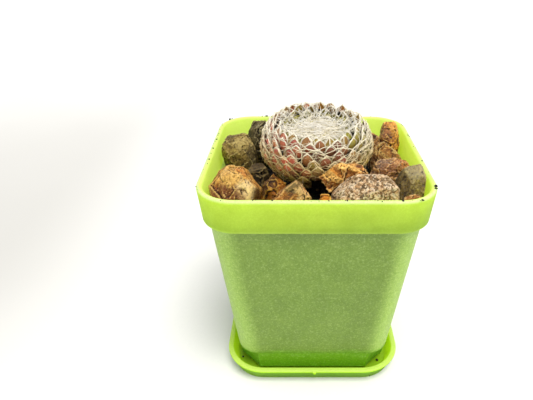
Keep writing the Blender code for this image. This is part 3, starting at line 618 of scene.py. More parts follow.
def rock(name, family):
    """Broken stone: clouded colour, flecks, pits darkened with painted shade, a painted highlight on its sharp edges
    and painted shade in its cracks, and bands where it has layers.
    """
    deep, main, light, roughness, (fleck, share) = ROCKS[family]
    graph = Graph(f"{name}_rock")
    place = graph.place()
    clouds = graph.noise(4.2, 6.0, 0.65, 0.8)
    grain = graph.noise(0.8, 5.0, 0.75)
    colour = graph.ramp(clouds, [(0.35, deep), (0.46, main), (0.58, main), (0.70, light)])
    height = graph.math("ADD", graph.math("MULTIPLY", clouds, 0.8), grain)
    if name in STRATA:
        size, facing, proud = STRATA[name]
        facing = tuple(Vector(facing).normalized() / (size * MM))
        across = graph.node("ShaderNodeVectorMath", {0: place, 1: facing}, 1, operation="DOT_PRODUCT")
        wander = graph.math("MULTIPLY", graph.noise(9.0, 2.0), 1.6)
        bands = graph.node("ShaderNodeTexNoise", {"W": graph.math("ADD", across, wander), "Scale": 1.0,
                                                  "Detail": 2.0, "Roughness": 0.6}, noise_dimensions="1D")
        colour = graph.mix(graph.ranged(bands, 0.50, 0.60, 0.0, 0.9 * proud + 0.4), colour, light)
        colour = graph.mix(graph.ranged(bands, 0.47, 0.38, 0.0, 0.9 * proud + 0.35), colour, deep)
        height = graph.math("ADD", height, bands)
    blotch = graph.noise(2.0, 5.0, 0.75)
    colour = graph.mix(graph.ranged(blotch, 0.50, 0.40, 0.0, 0.6), colour, (0.42, 0.34, 0.24), "MULTIPLY")
    colour = graph.mix(graph.ranged(blotch, 0.54, 0.64, 0.0, 0.55), colour, light)
    for middle, radius, tone, amount in PATCHES.get(name, []):
        centre = tuple(value * MM for value in middle)
        away = graph.node("ShaderNodeVectorMath", {0: place, 1: centre}, 1, operation="DISTANCE")
        ragged = graph.math("ADD", away, graph.math("MULTIPLY", graph.math("SUBTRACT", clouds, 0.5), 9.0 * MM))
        near = graph.ranged(ragged, radius * 1.15 * MM, radius * 0.75 * MM, 0.0, amount)
        shaded = graph.mix(graph.ranged(grain, 0.3, 0.7, 0.0, 0.5), tone, light if sum(tone) > 1 else deep)
        colour = graph.mix(near, colour, shaded)
    if family == "granite":
        pick = graph.node("ShaderNodeRGBToBW", {0: graph.cells(1.25, output=1)})
        crystals = graph.ramp(pick, [(0.0, srgb(44, 36, 26)), (0.24, srgb(96, 78, 54)), (0.34, srgb(176, 138, 98)),
                                     (0.50, srgb(214, 178, 138)), (0.66, srgb(232, 204, 178)),
                                     (0.80, srgb(253, 246, 232))])
        fine = graph.node("ShaderNodeRGBToBW", {0: graph.cells(0.6, output=1)})
        crystals = graph.mix(graph.ranged(fine, 0.62, 0.75, 0.0, 0.8), crystals, srgb(252, 238, 214))
        crystals = graph.mix(graph.ranged(fine, 0.34, 0.26, 0.0, 0.8), crystals, srgb(66, 54, 38))
        colour = graph.mix(0.72, colour, crystals)
    shine = graph.ranged(graph.noise(0.65, 4.0, 0.8), 0.66 - 0.3 * share, 0.72 - 0.3 * share)
    colour = graph.mix(graph.math("MULTIPLY", shine, 0.85), colour, fleck)
    pits = graph.ranged(graph.noise(1.3, 5.0, 0.75), 0.42, 0.33)
    # painted shade: the pits darkened towards the deep colour
    colour = graph.mix(graph.math("MULTIPLY", pits, 0.8), colour, deep)
    colour = graph.mix(graph.ranged(grain, 0.3, 0.62, 0.8, 0.0), colour, (0.28, 0.22, 0.14), "MULTIPLY")
    relief = graph.node("ShaderNodeVertexColor", layer_name="relief")
    relief = graph.parts(relief)[0]
    # painted highlight: sharp edges paler, from the relief attribute
    colour = graph.mix(graph.ranged(relief, 0.56, 0.85, 0.0, 0.6), colour, graph.mix(0.4, light, fleck))
    # painted shade: cracks and hollows near-black, from the relief attribute
    colour = graph.mix(graph.ranged(relief, 0.45, 0.20, 0.0, 0.92), colour, tuple(0.25 * value for value in deep))
    if name in TONES:
        colour = graph.mix(1.0, colour, TONES[name], "MULTIPLY")
    height = graph.math("SUBTRACT", height, graph.math("MULTIPLY", pits, 0.7))
    glossy = name in ("stone_orange_back", "stone_brown_flat", "stone_dark_egg")
    low, high = (0.42, 0.2) if glossy else (roughness + 0.15, roughness - 0.1)
    return graph.finish(colour, graph.ranged(grain, 0.3, 0.7, low, high), graph.bump(height, 0.6),
                        specular_ior_level=0.6 if glossy else 0.3)


def chipped(points, chance, chips):
    """Breaks small flat faces off a stone's corners."""
    middle = points.mean(axis=0)
    for _ in range(chips):
        facing = np.array([chance.gauss(0, 1) for _ in range(3)])
        facing /= np.linalg.norm(facing)
        reach = (points - middle) @ facing
        over = reach - reach.max() * chance.uniform(0.86, 0.97)
        points = points - np.maximum(over, 0)[:, None] * facing
    return points


def weathered(points, seed, strata, broken):
    """How far each point of a stone's skin moves from its smooth hull, in millimetres, as a broken face does."""
    moved = np.empty(len(points))
    for index, point in enumerate(points):
        place = Vector(point) + Vector((seed * 17.3, seed * 5.1, 0.0))
        large = noise.voronoi(place / 7.5)[1][0]
        facet = (place / 7.5 - large).dot(noise.noise_vector(large * 3.7)) * 2.1
        small = noise.voronoi(place / 2.8)[1][0]
        chip = (place / 2.8 - small).dot(noise.noise_vector(small * 5.3)) * 0.75
        rough = noise.fractal(place / 0.9, 0.7, 2.0, 4) * 0.15
        moved[index] = (facet + chip) * broken + rough - 0.15 * broken
        if strata:
            size, facing, proud = strata
            along = Vector(point).dot(Vector(facing).normalized()) + noise.noise(place / 8.0) * 2.6
            moved[index] += noise.noise(Vector((along / size * 1.1, seed, 0.0))) * proud
    return np.clip(moved, -1.5, 0.15)


def relief_of(mesh, points, voxel):
    """0 in cracks, 0.5 on flat skin and 1 on sharp edges, for each point, from how it lies to its neighbours."""
    edges = np.empty(len(mesh.edges) * 2, np.int64)
    mesh.edges.foreach_get("vertices", edges)
    edges = edges.reshape(-1, 2)
    normals = np.empty(len(points) * 3)
    mesh.vertices.foreach_get("normal", normals)
    normals = normals.reshape(-1, 3)
    count = np.bincount(edges.ravel(), minlength=len(points))[:, None]

    def around(values):
        total = np.zeros((len(points), values.shape[1]))
        np.add.at(total, edges[:, 0], values[edges[:, 1]])
        np.add.at(total, edges[:, 1], values[edges[:, 0]])
        return total / np.maximum(count, 1)

    bend = ((points - around(points)) * normals).sum(axis=1)[:, None] / voxel
    bend = (bend + around(bend)) / 2
    return np.clip(0.5 + bend.ravel() * 2.2, 0, 1)


def make_stone(name, family, seed):
    """A stone cut to its CAD hull, with broken faces, chips and rough skin."""
    shape = bmesh.new()
    shape.from_mesh(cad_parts[name].data)
    bmesh.ops.remove_doubles(shape, verts=shape.verts, dist=1e-6)
    mesh = bpy.data.meshes.new(f"{name}_broken")
    shape.to_mesh(mesh)
    shape.free()
    made = bpy.data.objects.new(f"{name}_broken", mesh)
    bpy.context.scene.collection.objects.link(made)
    voxel = COARSE_VOXEL if name in HIDDEN_STONES else FINE_VOXEL
    remesh = made.modifiers.new("Fine", "REMESH")
    remesh.mode = "VOXEL"
    remesh.voxel_size = voxel * MM
    soften = made.modifiers.new("Soften", "SMOOTH")
    soften.factor, soften.iterations = 0.5, 1
    settle(made)
    mesh = made.data
    mesh.name = made.name
    points = read_points(mesh) / MM
    points = chipped(points, random.Random(seed), 9)
    write_points(mesh, points * MM)
    normals = np.array([vertex.normal for vertex in mesh.vertices])
    points += normals * weathered(points, seed, STRATA.get(name), WORN.get(name, 1.0))[:, None]
    write_points(mesh, points * MM)
    # how sharp or hollow the skin is, for the rock's painted edge highlights and painted crack shade
    relief = relief_of(mesh, points, voxel)
    colours = mesh.color_attributes.new("relief", "FLOAT_COLOR", "POINT")
    colours.data.foreach_set("color", np.column_stack([relief, relief, relief, np.ones(len(relief))]).ravel())
    mesh.materials.clear()
    mesh.materials.append(rock(name, family))
    mesh.shade_smooth()
    mesh.set_sharp_from_angle(angle=math.radians(32))
    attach(made, "root")
    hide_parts(name)
    return made


def read_points(mesh):
    points = np.empty(len(mesh.vertices) * 3)
    mesh.vertices.foreach_get("co", points)
    return points.reshape(-1, 3)


def write_points(mesh, points):
    mesh.vertices.foreach_set("co", points.ravel())
    mesh.update()


STONE_FAMILY = {
    "stone_olive_block": "olive", "stone_dark_behind": "slate", "stone_ochre_large": "ochre",
    "stone_ochre_bright": "amber", "stone_dark_left": "slate", "stone_brown_pyramid": "brown",
    "stone_ochre_small": "amber", "stone_tan_wedge": "tan", "stone_granite": "granite", "stone_dark_egg": "olive",
    "stone_brown_flat": "brown", "stone_striped": "tan", "stone_orange_back": "amber",
    "stone_brown_sliver": "brown", "stone_front_corner": "brown", "stone_back_left": "brown",
    "stone_back_a": "amber", "stone_back_b": "slate", "stone_back_c": "ochre", "stone_back_corner": "granite",
    "stone_low_right": "brown", "stone_low_front": "slate", "stone_low_left": "brown", "stone_low_middle": "slate",
}


def growing_mix():
    graph = Graph("growing_mix")
    crumb = graph.noise(1.2, 6.0, 0.75)
    fibre = graph.noise(5.0, 3.0, 0.6, 1.5)
    colour = graph.ramp(crumb, [(0.35, srgb(6, 5, 3)), (0.55, srgb(22, 17, 11)), (0.75, srgb(66, 50, 32))])
    colour = graph.mix(graph.ranged(fibre, 0.6, 0.75, 0.0, 0.5), colour, srgb(44, 33, 20))
    height = graph.math("ADD", crumb, graph.math("MULTIPLY", fibre, 0.4))
    return graph.finish(colour, graph.ranged(crumb, 0.3, 0.7, 0.95, 0.75), graph.bump(height, 0.5))


def make_soil():
    """The growing mix with its lumpy top made finer; make_grit lays the loose grit on it."""
    shape = bmesh.new()
    shape.from_mesh(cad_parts["soil"].data)
    bmesh.ops.remove_doubles(shape, verts=shape.verts, dist=1e-6)
    top = [edge for edge in shape.edges if min(vert.co.z for vert in edge.verts) > (SOIL_LEVEL - 2.5) * MM
           and all(face.normal.z > 0.3 for face in edge.link_faces)]
    bmesh.ops.subdivide_edges(shape, edges=top, cuts=3, use_grid_fill=True)
    bmesh.ops.triangulate(shape, faces=shape.faces)
    shape.normal_update()
    for vert in shape.verts:
        if vert.co.z > (SOIL_LEVEL - 2.5) * MM and all(face.normal.z > 0.3 for face in vert.link_faces):
            place = vert.co / MM
            vert.co.z += (noise.fractal(place / 1.6, 0.7, 2.1, 4) * 0.5 - 0.15) * MM
    mesh = bpy.data.meshes.new("growing_mix")
    shape.to_mesh(mesh)
    shape.free()
    material = growing_mix()
    mesh.materials.clear()
    mesh.materials.append(material)
    mesh.shade_smooth()
    mesh.set_sharp_from_angle(angle=math.radians(50))
    soil = bpy.data.objects.new("growing_mix", mesh)
    bpy.context.scene.collection.objects.link(soil)
    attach(soil, "root")
    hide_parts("soil")
    return soil


def lump(place, size, chance, flat=0.7, detail=1):
    """Points and faces of one small rough crumb."""
    shape = bmesh.new()
    bmesh.ops.create_icosphere(shape, subdivisions=detail, radius=1.0)
    seed = Vector((chance.uniform(0, 90), chance.uniform(0, 90), 0))
    turn = Matrix.Rotation(chance.uniform(0, math.tau), 3, "Z") @ Matrix.Rotation(chance.uniform(-0.5, 0.5), 3, "X")
    stretch = Vector((chance.uniform(0.7, 1.3), chance.uniform(0.7, 1.1), flat * chance.uniform(0.8, 1.2)))
    points = []
    for vert in shape.verts:
        reach = 1 + 0.45 * noise.noise(vert.co * 1.4 + seed)
        points.append(Vector(place) + turn @ Vector([value * reach * size * part
                                                     for value, part in zip(vert.co, stretch)]))
    faces = [[vert.index for vert in face.verts] for face in shape.faces]
    shape.free()
    return np.array(points), faces


def joined(parts):
    """One list of points and one of faces from many."""
    points, faces, start = [], [], 0
    for some_points, some_faces in parts:
        points.append(np.asarray(some_points))
        faces += [tuple(start + index for index in face) for face in some_faces]
        start += len(some_points)
    return np.vstack(points), faces


def make_grit(soil):
    """Loose crumbs of mix and grit lying in the gaps between the stones."""
    chance = random.Random(7)
    parts = []
    half = body_half(SOIL_LEVEL) - WALL - 1.6
    while len(parts) < 620:
        x, y = chance.uniform(-half, half), chance.uniform(-half, half)
        hit, place, _, _ = soil.ray_cast(Vector((x * MM, y * MM, 0.1)), Vector((0, 0, -1)))
        if hit and place.z > (SOIL_LEVEL - 2.5) * MM and math.hypot(x - ROSETTE_CENTRE[0], y - ROSETTE_CENTRE[1]) > 4:
            size = 0.25 + 0.75 * chance.random() ** 2
            parts.append(lump(place / MM + Vector((0, 0, size * 0.1)), size, chance))
    grit = add_object("loose_grit", *joined(parts), growing_grit(), smooth=40)
    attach(grit, "root")


# Crumbs of mix on the pot's rim and walls and in the saucer: place in millimetres and size
CRUMBS = [((-36.4, 10.5, 80.9), 0.42), ((-36.4, 1.9, 80.9), 0.3), ((-36.2, -7.7, 80.9), 0.35), ((36.5, 14.9, 80.9), 0.3),
          ((36.5, -8.6, 80.9), 0.3), ((36.5, -27.5, 80.9), 0.7), ((36.1, -28.8, 80.8), 0.45), ((24.7, -36.6, 80.8), 0.35),
          ((8.5, -36.6, 80.8), 0.3), ((-19.1, 36.8, 80.9), 0.5), ((-21.0, 36.9, 80.8), 0.35), ((-34.2, 33.0, 80.7), 0.6),
          ((-33.4, 34.0, 80.7), 0.35), ((30.5, -36.2, 80.9), 0.4), ((-27.2, 36.4, 77.2), 0.35), ((-20.4, 35.9, 77.5), 0.35),
          ((-31.8, 33.4, 75.5), 0.3), ((-35.9, 14.0, 77.0), 0.3), ((-35.9, -3.0, 76.0), 0.35), ((-35.7, -14.0, 77.5), 0.3),
          ((25.5, -23.7, 1.7), 0.6), ((21.3, -32.6, 3.0), 0.3), ((-27.5, -22.0, 1.7), 0.4), ((28.8, -16.0, 1.7), 0.45)]
TWIG = ((30.8, -13.1, 2.2), (31.6, -14.9, 2.9), (32.3, -16.4, 3.6))


def make_crumbs():
    """Loose crumbs where the photograph shows them, and a bit of dry root in the saucer."""
    chance = random.Random(3)
    parts = [lump(place, size, chance) for place, size in CRUMBS]
    for _ in range(70):
        along, side = chance.uniform(-30, 30), chance.randrange(4)
        across = RIM_WIDTH / 2 - LIP / 2 + chance.uniform(-0.4, 0.5)
        x, y = ((along, across), (across, along), (along, -across), (-across, along))[side]
        parts.append(lump((x, y, RIM_TOP + 0.05), chance.uniform(0.10, 0.24), chance))
    parts.append(thread_mesh([(TWIG, (0.30, 0.34, 0.16))]))
    crumbs = add_object("stray_crumbs", *joined(parts), growing_mix(), smooth=40)
    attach(crumbs, "root")


def growing_grit():
    graph = Graph("loose_grit")
    cells = graph.node("ShaderNodeRGBToBW", {0: graph.cells(2.6, output=1)})
    colour = graph.ramp(cells, [(0.1, srgb(10, 8, 5)), (0.55, srgb(36, 27, 17)), (0.8, srgb(84, 64, 40)),
                                (0.97, srgb(150, 124, 84))])
    fine = graph.noise(0.5, 4.0)
    colour = graph.mix(graph.ranged(fine, 0.3, 0.7, 0.5, 0.0), colour, (0.3, 0.28, 0.25), "MULTIPLY")
    return graph.finish(colour, graph.ranged(fine, 0.3, 0.7, 0.9, 0.7), graph.bump(fine, 0.12))


def curve_through(rows, samples):
    """Rows of values on a smooth curve through the given rows."""
    rows = np.array(rows, float)
    padded = np.vstack([2 * rows[0] - rows[1], rows, 2 * rows[-1] - rows[-2]])
    out = []
    for index in range(len(rows) - 1):
        a, b, c, d = padded[index:index + 4]
        for step in range(samples):
            t = step / samples
            out.append(0.5 * (2 * b + (c - a) * t + (2 * a - 5 * b + 4 * c - d) * t**2 + (3 * b - a - 3 * c + d) * t**3))
    return np.array([*out, rows[-1]])


class Crown:
    """The surface that the leaf tips lie on, measured along its profile from the heart to the lowest leaves."""

    def __init__(self):
        rows = curve_through(TIP_PROFILE, 12)
        self.radius, self.level, self.lean = rows.T
        self.radius = np.maximum(self.radius, 0.0)
        steps = np.hypot(np.diff(self.radius), np.diff(self.level))
        self.along = np.concatenate([[0.0], np.cumsum(steps)])
        share = np.minimum(self.radius / YOUNG_RADIUS, 1.0)
        outside = self.along > self.along[np.argmax(self.radius > YOUNG_RADIUS)]
        area = np.where(outside, LEAF_AREA, YOUNG_AREA + (LEAF_AREA - YOUNG_AREA) * share)
        rate = math.tau * self.radius / area
        self.counted = np.concatenate([[0.0], np.cumsum((rate[1:] + rate[:-1]) / 2 * steps)])
        self.scale = np.sqrt(area / LEAF_AREA)

    def at(self, along):
        return [np.interp(along, self.along, row) for row in (self.radius, self.level, self.lean, self.scale)]

    def normal(self, along):
        """Which way the surface faces: (across, up)."""
        ends = [self.at(np.clip(along + way, 0, self.along[-1])) for way in (-0.4, 0.4)]
        run, rise = ends[1][0] - ends[0][0], ends[1][1] - ends[0][1]
        size = math.hypot(run, rise)
        return -rise / size, run / size

    def leaf(self, number):
        along = np.interp(number + 0.5, self.counted, self.along)
        radius, level, lean, scale = self.at(along)
        return radius, level, math.radians(lean), scale, self.normal(along)


def tilted(point):
    """A point of the upright rosette, as the rosette leans towards the front."""
    angle = math.radians(ROSETTE_TILT)
    along, rise = point[1] - ROSETTE_PIVOT[1], point[2] - ROSETTE_PIVOT[2]
    return np.array([point[0], ROSETTE_PIVOT[1] + along * math.cos(angle) - rise * math.sin(angle),
                     ROSETTE_PIVOT[2] + along * math.sin(angle) + rise * math.cos(angle)])


class Leaf:
    """One leaf of the rosette, by the CAD source's rule and from the same random draws."""

    def __init__(self, crown, number, chance):
        radius, level, lean, scale, normal = crown.leaf(number)
        turn = number * GOLDEN_ANGLE + chance.uniform(-0.05, 0.05)
        out = np.array([math.cos(turn), math.sin(turn), 0.0])
        self.side = np.array([-math.sin(turn), math.cos(turn), 0.0])
        up = np.array([0.0, 0.0, 1.0])
        lean += math.radians(chance.uniform(-6, 6))
        ahead = out * math.cos(lean) + up * math.sin(lean)
        self.outward = out * normal[0] + up * normal[1]
        self.size = scale * chance.uniform(0.93, 1.07)
        self.tip = (np.array([*ROSETTE_CENTRE, 0.0]) + out * radius + up * level
                    + self.outward * chance.uniform(-0.35, 0.35))
        self.root = self.tip - ahead * LEAF_LENGTH * self.size * 0.8 - self.outward * (LEAF_SINK - 2.2 * (1 - scale))
        self.belly = self.tip - ahead * LEAF_LENGTH * self.size * 0.46 + self.outward * 0.55 * self.size
        self.tip, self.root, self.belly = (tilted(point) for point in (self.tip, self.root, self.belly))
        self.side, self.outward = (tilted(way + ROSETTE_PIVOT) - ROSETTE_PIVOT for way in (self.side, self.outward))
        self.radius, self.level, self.out, self.normal, self.turn = radius, level, out, normal, turn

    def frame(self, t):
        """Middle, travel and back direction at t along the leaf."""
        middle = self.root * (1 - t) ** 2 + self.belly * 2 * t * (1 - t) + self.tip * t**2
        travel = (self.belly - self.root) * (1 - t) + (self.tip - self.belly) * t
        travel = travel / np.linalg.norm(travel)
        back = np.cross(self.side, travel)
        back *= np.sign(back @ self.outward) or 1.0
        return middle, travel, back

    def half_width(self, t):
        if t < 0.5:
            share = 0.62 + 0.38 * math.sin(min(t / 0.46, 1) * math.pi / 2)
        else:
            share = (1 - ((t - 0.5) / 0.5) ** 2.1) ** 0.92
        return share * LEAF_WIDTH * self.size / 2

    def half_depth(self, t):
        share = 0.9 + 0.1 * min(t / 0.45, 1) if t < 0.5 else (1 - ((t - 0.5) / 0.5) ** 2.6) ** 0.8
        return share * LEAF_DEPTH * self.size / 2

    def edge(self, t, way, lift=0.0):
        """A point on one margin of the leaf, lifted off it by lift millimetres."""
        middle, _, back = self.frame(t)
        return middle + self.side * way * (self.half_width(t) + lift * 0.6) - back * (self.half_depth(t) * 0.35 - lift)


LEAF_SIDES = 12
LEAF_STEPS = (0.0, 0.16, 0.32, 0.46, 0.58, 0.69, 0.79, 0.87, 0.94, 0.985)


def leaf_tint(leaf, chance):
    """The leaf's own colour: rose at the left and front, olive at the right and inside, dry tan low down."""
    rose, mauve, olive = srgb(222, 108, 92), srgb(150, 86, 60), srgb(156, 150, 46)
    green, rust, dry = srgb(158, 156, 44), srgb(190, 104, 44), srgb(172, 148, 58)
    purple, straw = srgb(104, 50, 56), srgb(176, 144, 78)
    turn = math.degrees(leaf.turn) % 360
    keys = [(0, olive), (45, rust), (110, rust), (150, mauve), (185, rose), (235, rose), (268, mauve), (300, mauve),
            (330, olive), (360, olive)]
    for (low, first), (high, second) in zip(keys, keys[1:]):
        if low <= turn <= high:
            share = (turn - low) / (high - low)
            tint = np.array(first) * (1 - share) + np.array(second) * share
    inside = min(max((15.5 - leaf.radius) / 3.5, 0), 1) if leaf.level > 86 else 0
    tint = tint * (1 - inside) + np.array(green) * inside
    low = min(max((84.0 - leaf.level) / 5.0, 0), 1)
    tint = tint * (1 - low) + np.array(dry) * low
    odd, share = chance.choice((purple, straw, olive)), 0.7 * chance.random() ** 2
    return (tint * (1 - share) + np.array(odd) * share) * chance.uniform(0.68, 1.25)


def make_leaves(leaves):
    """All the leaves as one piece, each a fleshy blade with a pointed tip; make_core makes the core they grow from."""
    chance = random.Random(5)
    parts, tints = [], []
    for leaf in leaves:
        rings = []
        for t in LEAF_STEPS:
            middle, _, back = leaf.frame(t)
            wide, deep = leaf.half_width(t), leaf.half_depth(t)
            ring = []
            for corner in range(LEAF_SIDES):
                angle = corner / LEAF_SIDES * math.tau
                across, thick = math.cos(angle), math.sin(angle)
                thick = thick * (0.95 if thick > 0 else 0.42) - 0.18
                ring.append(middle + leaf.side * across * wide + back * thick * deep)
            rings.append(ring)
        points = [point for ring in rings for point in ring] + [leaf.tip]
        faces = [tuple(range(LEAF_SIDES))]
        for level in range(len(rings) - 1):
            for corner in range(LEAF_SIDES):
                low, low_next = level * LEAF_SIDES + corner, level * LEAF_SIDES + (corner + 1) % LEAF_SIDES
                faces.append((low, low + LEAF_SIDES, low_next + LEAF_SIDES, low_next))
        last = (len(rings) - 1) * LEAF_SIDES
        faces += [(last + corner, len(points) - 1, last + (corner + 1) % LEAF_SIDES) for corner in range(LEAF_SIDES)]
        points = np.array(points)
        first = points[list(faces[0][:3])]
        if np.cross(first[1] - first[0], first[2] - first[1]) @ (first[0] - points.mean(axis=0)) < 0:
            faces = [tuple(reversed(face)) for face in faces]
        parts.append((points, faces))
        tint = leaf_tint(leaf, chance)
        for t in LEAF_STEPS:
            deeper = 1 - 0.35 * max(0, t - 0.55)
            paler = 0.25 * max(0, 0.5 - t)
            row = tint * deeper * (1 - paler) + np.array(srgb(150, 150, 84)) * paler
            tints += [(*row, t)] * LEAF_SIDES
        tints.append((*(tint * np.array([0.75, 0.5, 0.45])), 1.0))
    made = add_object("leaves", *joined(parts), leaf_finish())
    colours = made.data.color_attributes.new("tint", "FLOAT_COLOR", "POINT")
    colours.data.foreach_set("color", np.array(tints).ravel())
    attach(made, "root")
    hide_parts("rosette")
    return made


def leaf_finish():
    """Fleshy skin: the leaf's tint, mottled, paler at the foot, with fine hairs' roughness."""
    graph = Graph("houseleek_leaf")
    tint = graph.node("ShaderNodeVertexColor", layer_name="tint")
    mottle = graph.noise(1.1, 4.0, 0.65)
    fine = graph.noise(0.35, 3.0, 0.6)
    colour = graph.mix(graph.ranged(mottle, 0.35, 0.65, 0.45, 0.0), tint, (0.50, 0.42, 0.30), "MULTIPLY")
    colour = graph.mix(graph.ranged(graph.noise(2.6, 3.0), 0.52, 0.72, 0.0, 0.55), colour, srgb(132, 132, 70))
    colour = graph.mix(graph.ranged(fine, 0.60, 0.75, 0.0, 0.35), colour, srgb(226, 206, 176))
    height = graph.math("ADD", mottle, graph.math("MULTIPLY", fine, 0.5))
    return graph.finish(colour, graph.ranged(mottle, 0.3, 0.7, 0.62, 0.48), graph.bump(height, 0.10),
                        subsurface_weight=0.08, subsurface_scale=0.001)


def make_core(crown):
    """The body under the leaves, which shows between them in a near-black that is painted shade, and its stem."""
    profile = []
    for along in np.linspace(crown.along[-1], 1.5, 22):
        radius, level, _, _ = crown.at(along)
        across, up = crown.normal(along)
        sink = HEART_SINK if level > 88 and radius < 14 else CORE_SINK
        profile.append((max(radius - across * sink, 0.3), level - up * sink))
    profile = [(STEM_RADIUS, SOIL_LEVEL - STEM_DEPTH), (STEM_RADIUS, SOIL_LEVEL),
               (STEM_RADIUS + 0.4, profile[0][1] - 2.4), (profile[0][0] * 0.8, profile[0][1] - 1.0), *profile]
    angles = np.arange(48) * math.tau / 48
    rings = [np.column_stack([ROSETTE_CENTRE[0] + radius * np.cos(angles), ROSETTE_CENTRE[1] + radius * np.sin(angles),
                              np.full(48, level)]) for radius, level in profile]
    points, faces = stacked(rings)
    points = np.array([tilted(point) if point[2] > SOIL_LEVEL + 3 else point for point in points])
    points = points + np.array([[*(0.22 * noise.noise_vector(Vector(point) / 1.7))] for point in points])
    graph = Graph("rosette_core")
    grain = graph.noise(1.4, 5.0, 0.7)
    # painted shade: near-black, so the gaps between the leaves read as shadow
    colour = graph.ramp(grain, [(0.35, srgb(10, 8, 5)), (0.6, srgb(36, 30, 17)), (0.8, srgb(84, 70, 42))])
    material = graph.finish(colour, graph.ranged(grain, 0.3, 0.7, 0.85, 0.65), graph.bump(grain, 0.3))
    core = add_object("core_and_stem", points, faces, material)
    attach(core, "root")
    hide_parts("rosette")


def thread_mesh(paths):
    """Points and faces of many thin tapered threads. A path is (points, radii), all in millimetres."""
    all_points, all_faces, start = [], [], 0
    for path, radii in paths:
        path = np.asarray(path, float)
        travel = np.gradient(path, axis=0)
        travel /= np.linalg.norm(travel, axis=1)[:, None] + 1e-9
        guide = np.array([0.31, 0.22, 0.93]) if abs(travel[:, 2].mean()) < 0.8 else np.array([0.9, 0.4, 0.1])
        side = np.cross(travel, guide)
        side /= np.linalg.norm(side, axis=1)[:, None]
        rise = np.cross(travel, side)
        for corner in range(3):
            angle = corner * math.tau / 3
            all_points.append(path + (side * math.cos(angle) + rise * math.sin(angle)) * np.asarray(radii)[:, None])
        count = len(path)
        for corner in range(3):
            one, two = start + corner * count, start + (corner + 1) % 3 * count
            all_faces += [(one + step, two + step, two + step + 1, one + step + 1) for step in range(count - 1)]
        all_faces.append((start, start + count, start + 2 * count)[::-1])
        last = start + count - 1
        all_faces.append((last, last + count, last + 2 * count))
        start += 3 * count
    return np.vstack(all_points), all_faces


def tapered(count, radius, ends=(0.35, 0.25)):
    """Radii of a thread that thins towards its two ends."""
    share = np.linspace(0, 1, count)
    ease = np.minimum(np.minimum(share / 0.2, 1) * (1 - ends[0]) + ends[0],
                      np.minimum((1 - share) / 0.3, 1) * (1 - ends[1]) + ends[1])
    return radius * ease


def web_finish(name, bright, low_painted_shade):
    """White wool that glows a little with light from behind, and turns beige low on the rosette, where the beige is
    painted warm shade with light bounced from the leaves.
    """
    graph = Graph(name)
    z = graph.parts(graph.place())[2]
    fine = graph.noise(0.8, 3.0)
    # painted shade: the threads turn warm beige lower down
    low = graph.ranged(z, 90.0 * MM, 77.5 * MM)
    colour = graph.mix(low, bright, low_painted_shade)
    colour = graph.mix(graph.ranged(fine, 0.35, 0.7, 0.3, 0.0), colour, (0.72, 0.66, 0.56), "MULTIPLY")
    graph.finish(colour, 0.6)
    graph.let_light_through(0.25, (1.0, 0.93, 0.74))
    return graph.material


def wobble(point, amount, seed):
    return np.array([*(noise.noise_vector(Vector(point) / 1.3 + Vector((seed * 7.7, 0, 0))) * amount)])


def margin_threads(leaves):
    """The woolly fringe along both edges of every leaf, gathered to a tuft at its tip, and its short fuzz."""
    chance = random.Random(11)
    paths = []
    for leaf in leaves:
        foot = 0.34 if leaf.level > 80 else 0.5
        ahead = (leaf.tip - leaf.belly) / np.linalg.norm(leaf.tip - leaf.belly)
        for way in (-1, 1):
            for strand, radius in enumerate(MARGIN_RADII):
                lift = 0.06 + 0.13 * strand + chance.uniform(0, 0.10)
                count = 9
                ts = np.linspace(1.0, foot + chance.uniform(-0.06, 0.22), count)
                path = [leaf.edge(min(t, 0.995), way, lift) for t in ts]
                path[0] = leaf.tip + leaf.outward * 0.12
                path = [point + wobble(point, 0.22, strand) for point in path]
                radius *= (0.6 + 0.4 * leaf.size) * chance.uniform(0.8, 1.25)
                paths.append((path, tapered(count, radius, (0.8, 0.3))))
            for _ in range(3):
                start = leaf.edge(chance.uniform(0.45, 0.97), way, 0.1)
                out = (leaf.side * way * chance.uniform(0.2, 1.0) + leaf.outward * chance.uniform(0.1, 0.9)
                       + ahead * chance.uniform(-0.3, 0.9))
                reach = chance.uniform(0.5, 1.3)
                path = [start + out * share * reach + wobble(start, 0.2, 2) * share for share in (0, 0.5, 1)]
                paths.append((path, np.array([0.07, 0.05, 0.02])))
        for _ in range(chance.choice((0, 1, 2, 3))):
            one, two = chance.uniform(0.5, 0.95), chance.uniform(0.5, 0.95)
            start, end, proud = leaf.edge(one, -1, 0.15), leaf.edge(two, 1, 0.15), chance.uniform(0.45, 0.85)
            path = [start * (1 - share) + end * share + leaf.outward * proud * math.sin(share * math.pi)
                    for share in np.linspace(0, 1, 7)]
            path = [point + wobble(point, 0.22, 6) for point in path]
            paths.append((path, tapered(7, chance.choice((0.06, 0.09, 0.13)), (0.8, 0.8))))
        for _ in range(5):
            way = ahead * 0.8 + leaf.side * chance.uniform(-0.7, 0.7) + leaf.outward * chance.uniform(-0.2, 0.6)
            ends = [leaf.tip - ahead * 0.35 + way * share * chance.uniform(0.7, 1.3) for share in np.linspace(0, 1, 4)]
            paths.append((ends, tapered(4, 0.12 * leaf.size, (1.0, 0.2))))
    return paths


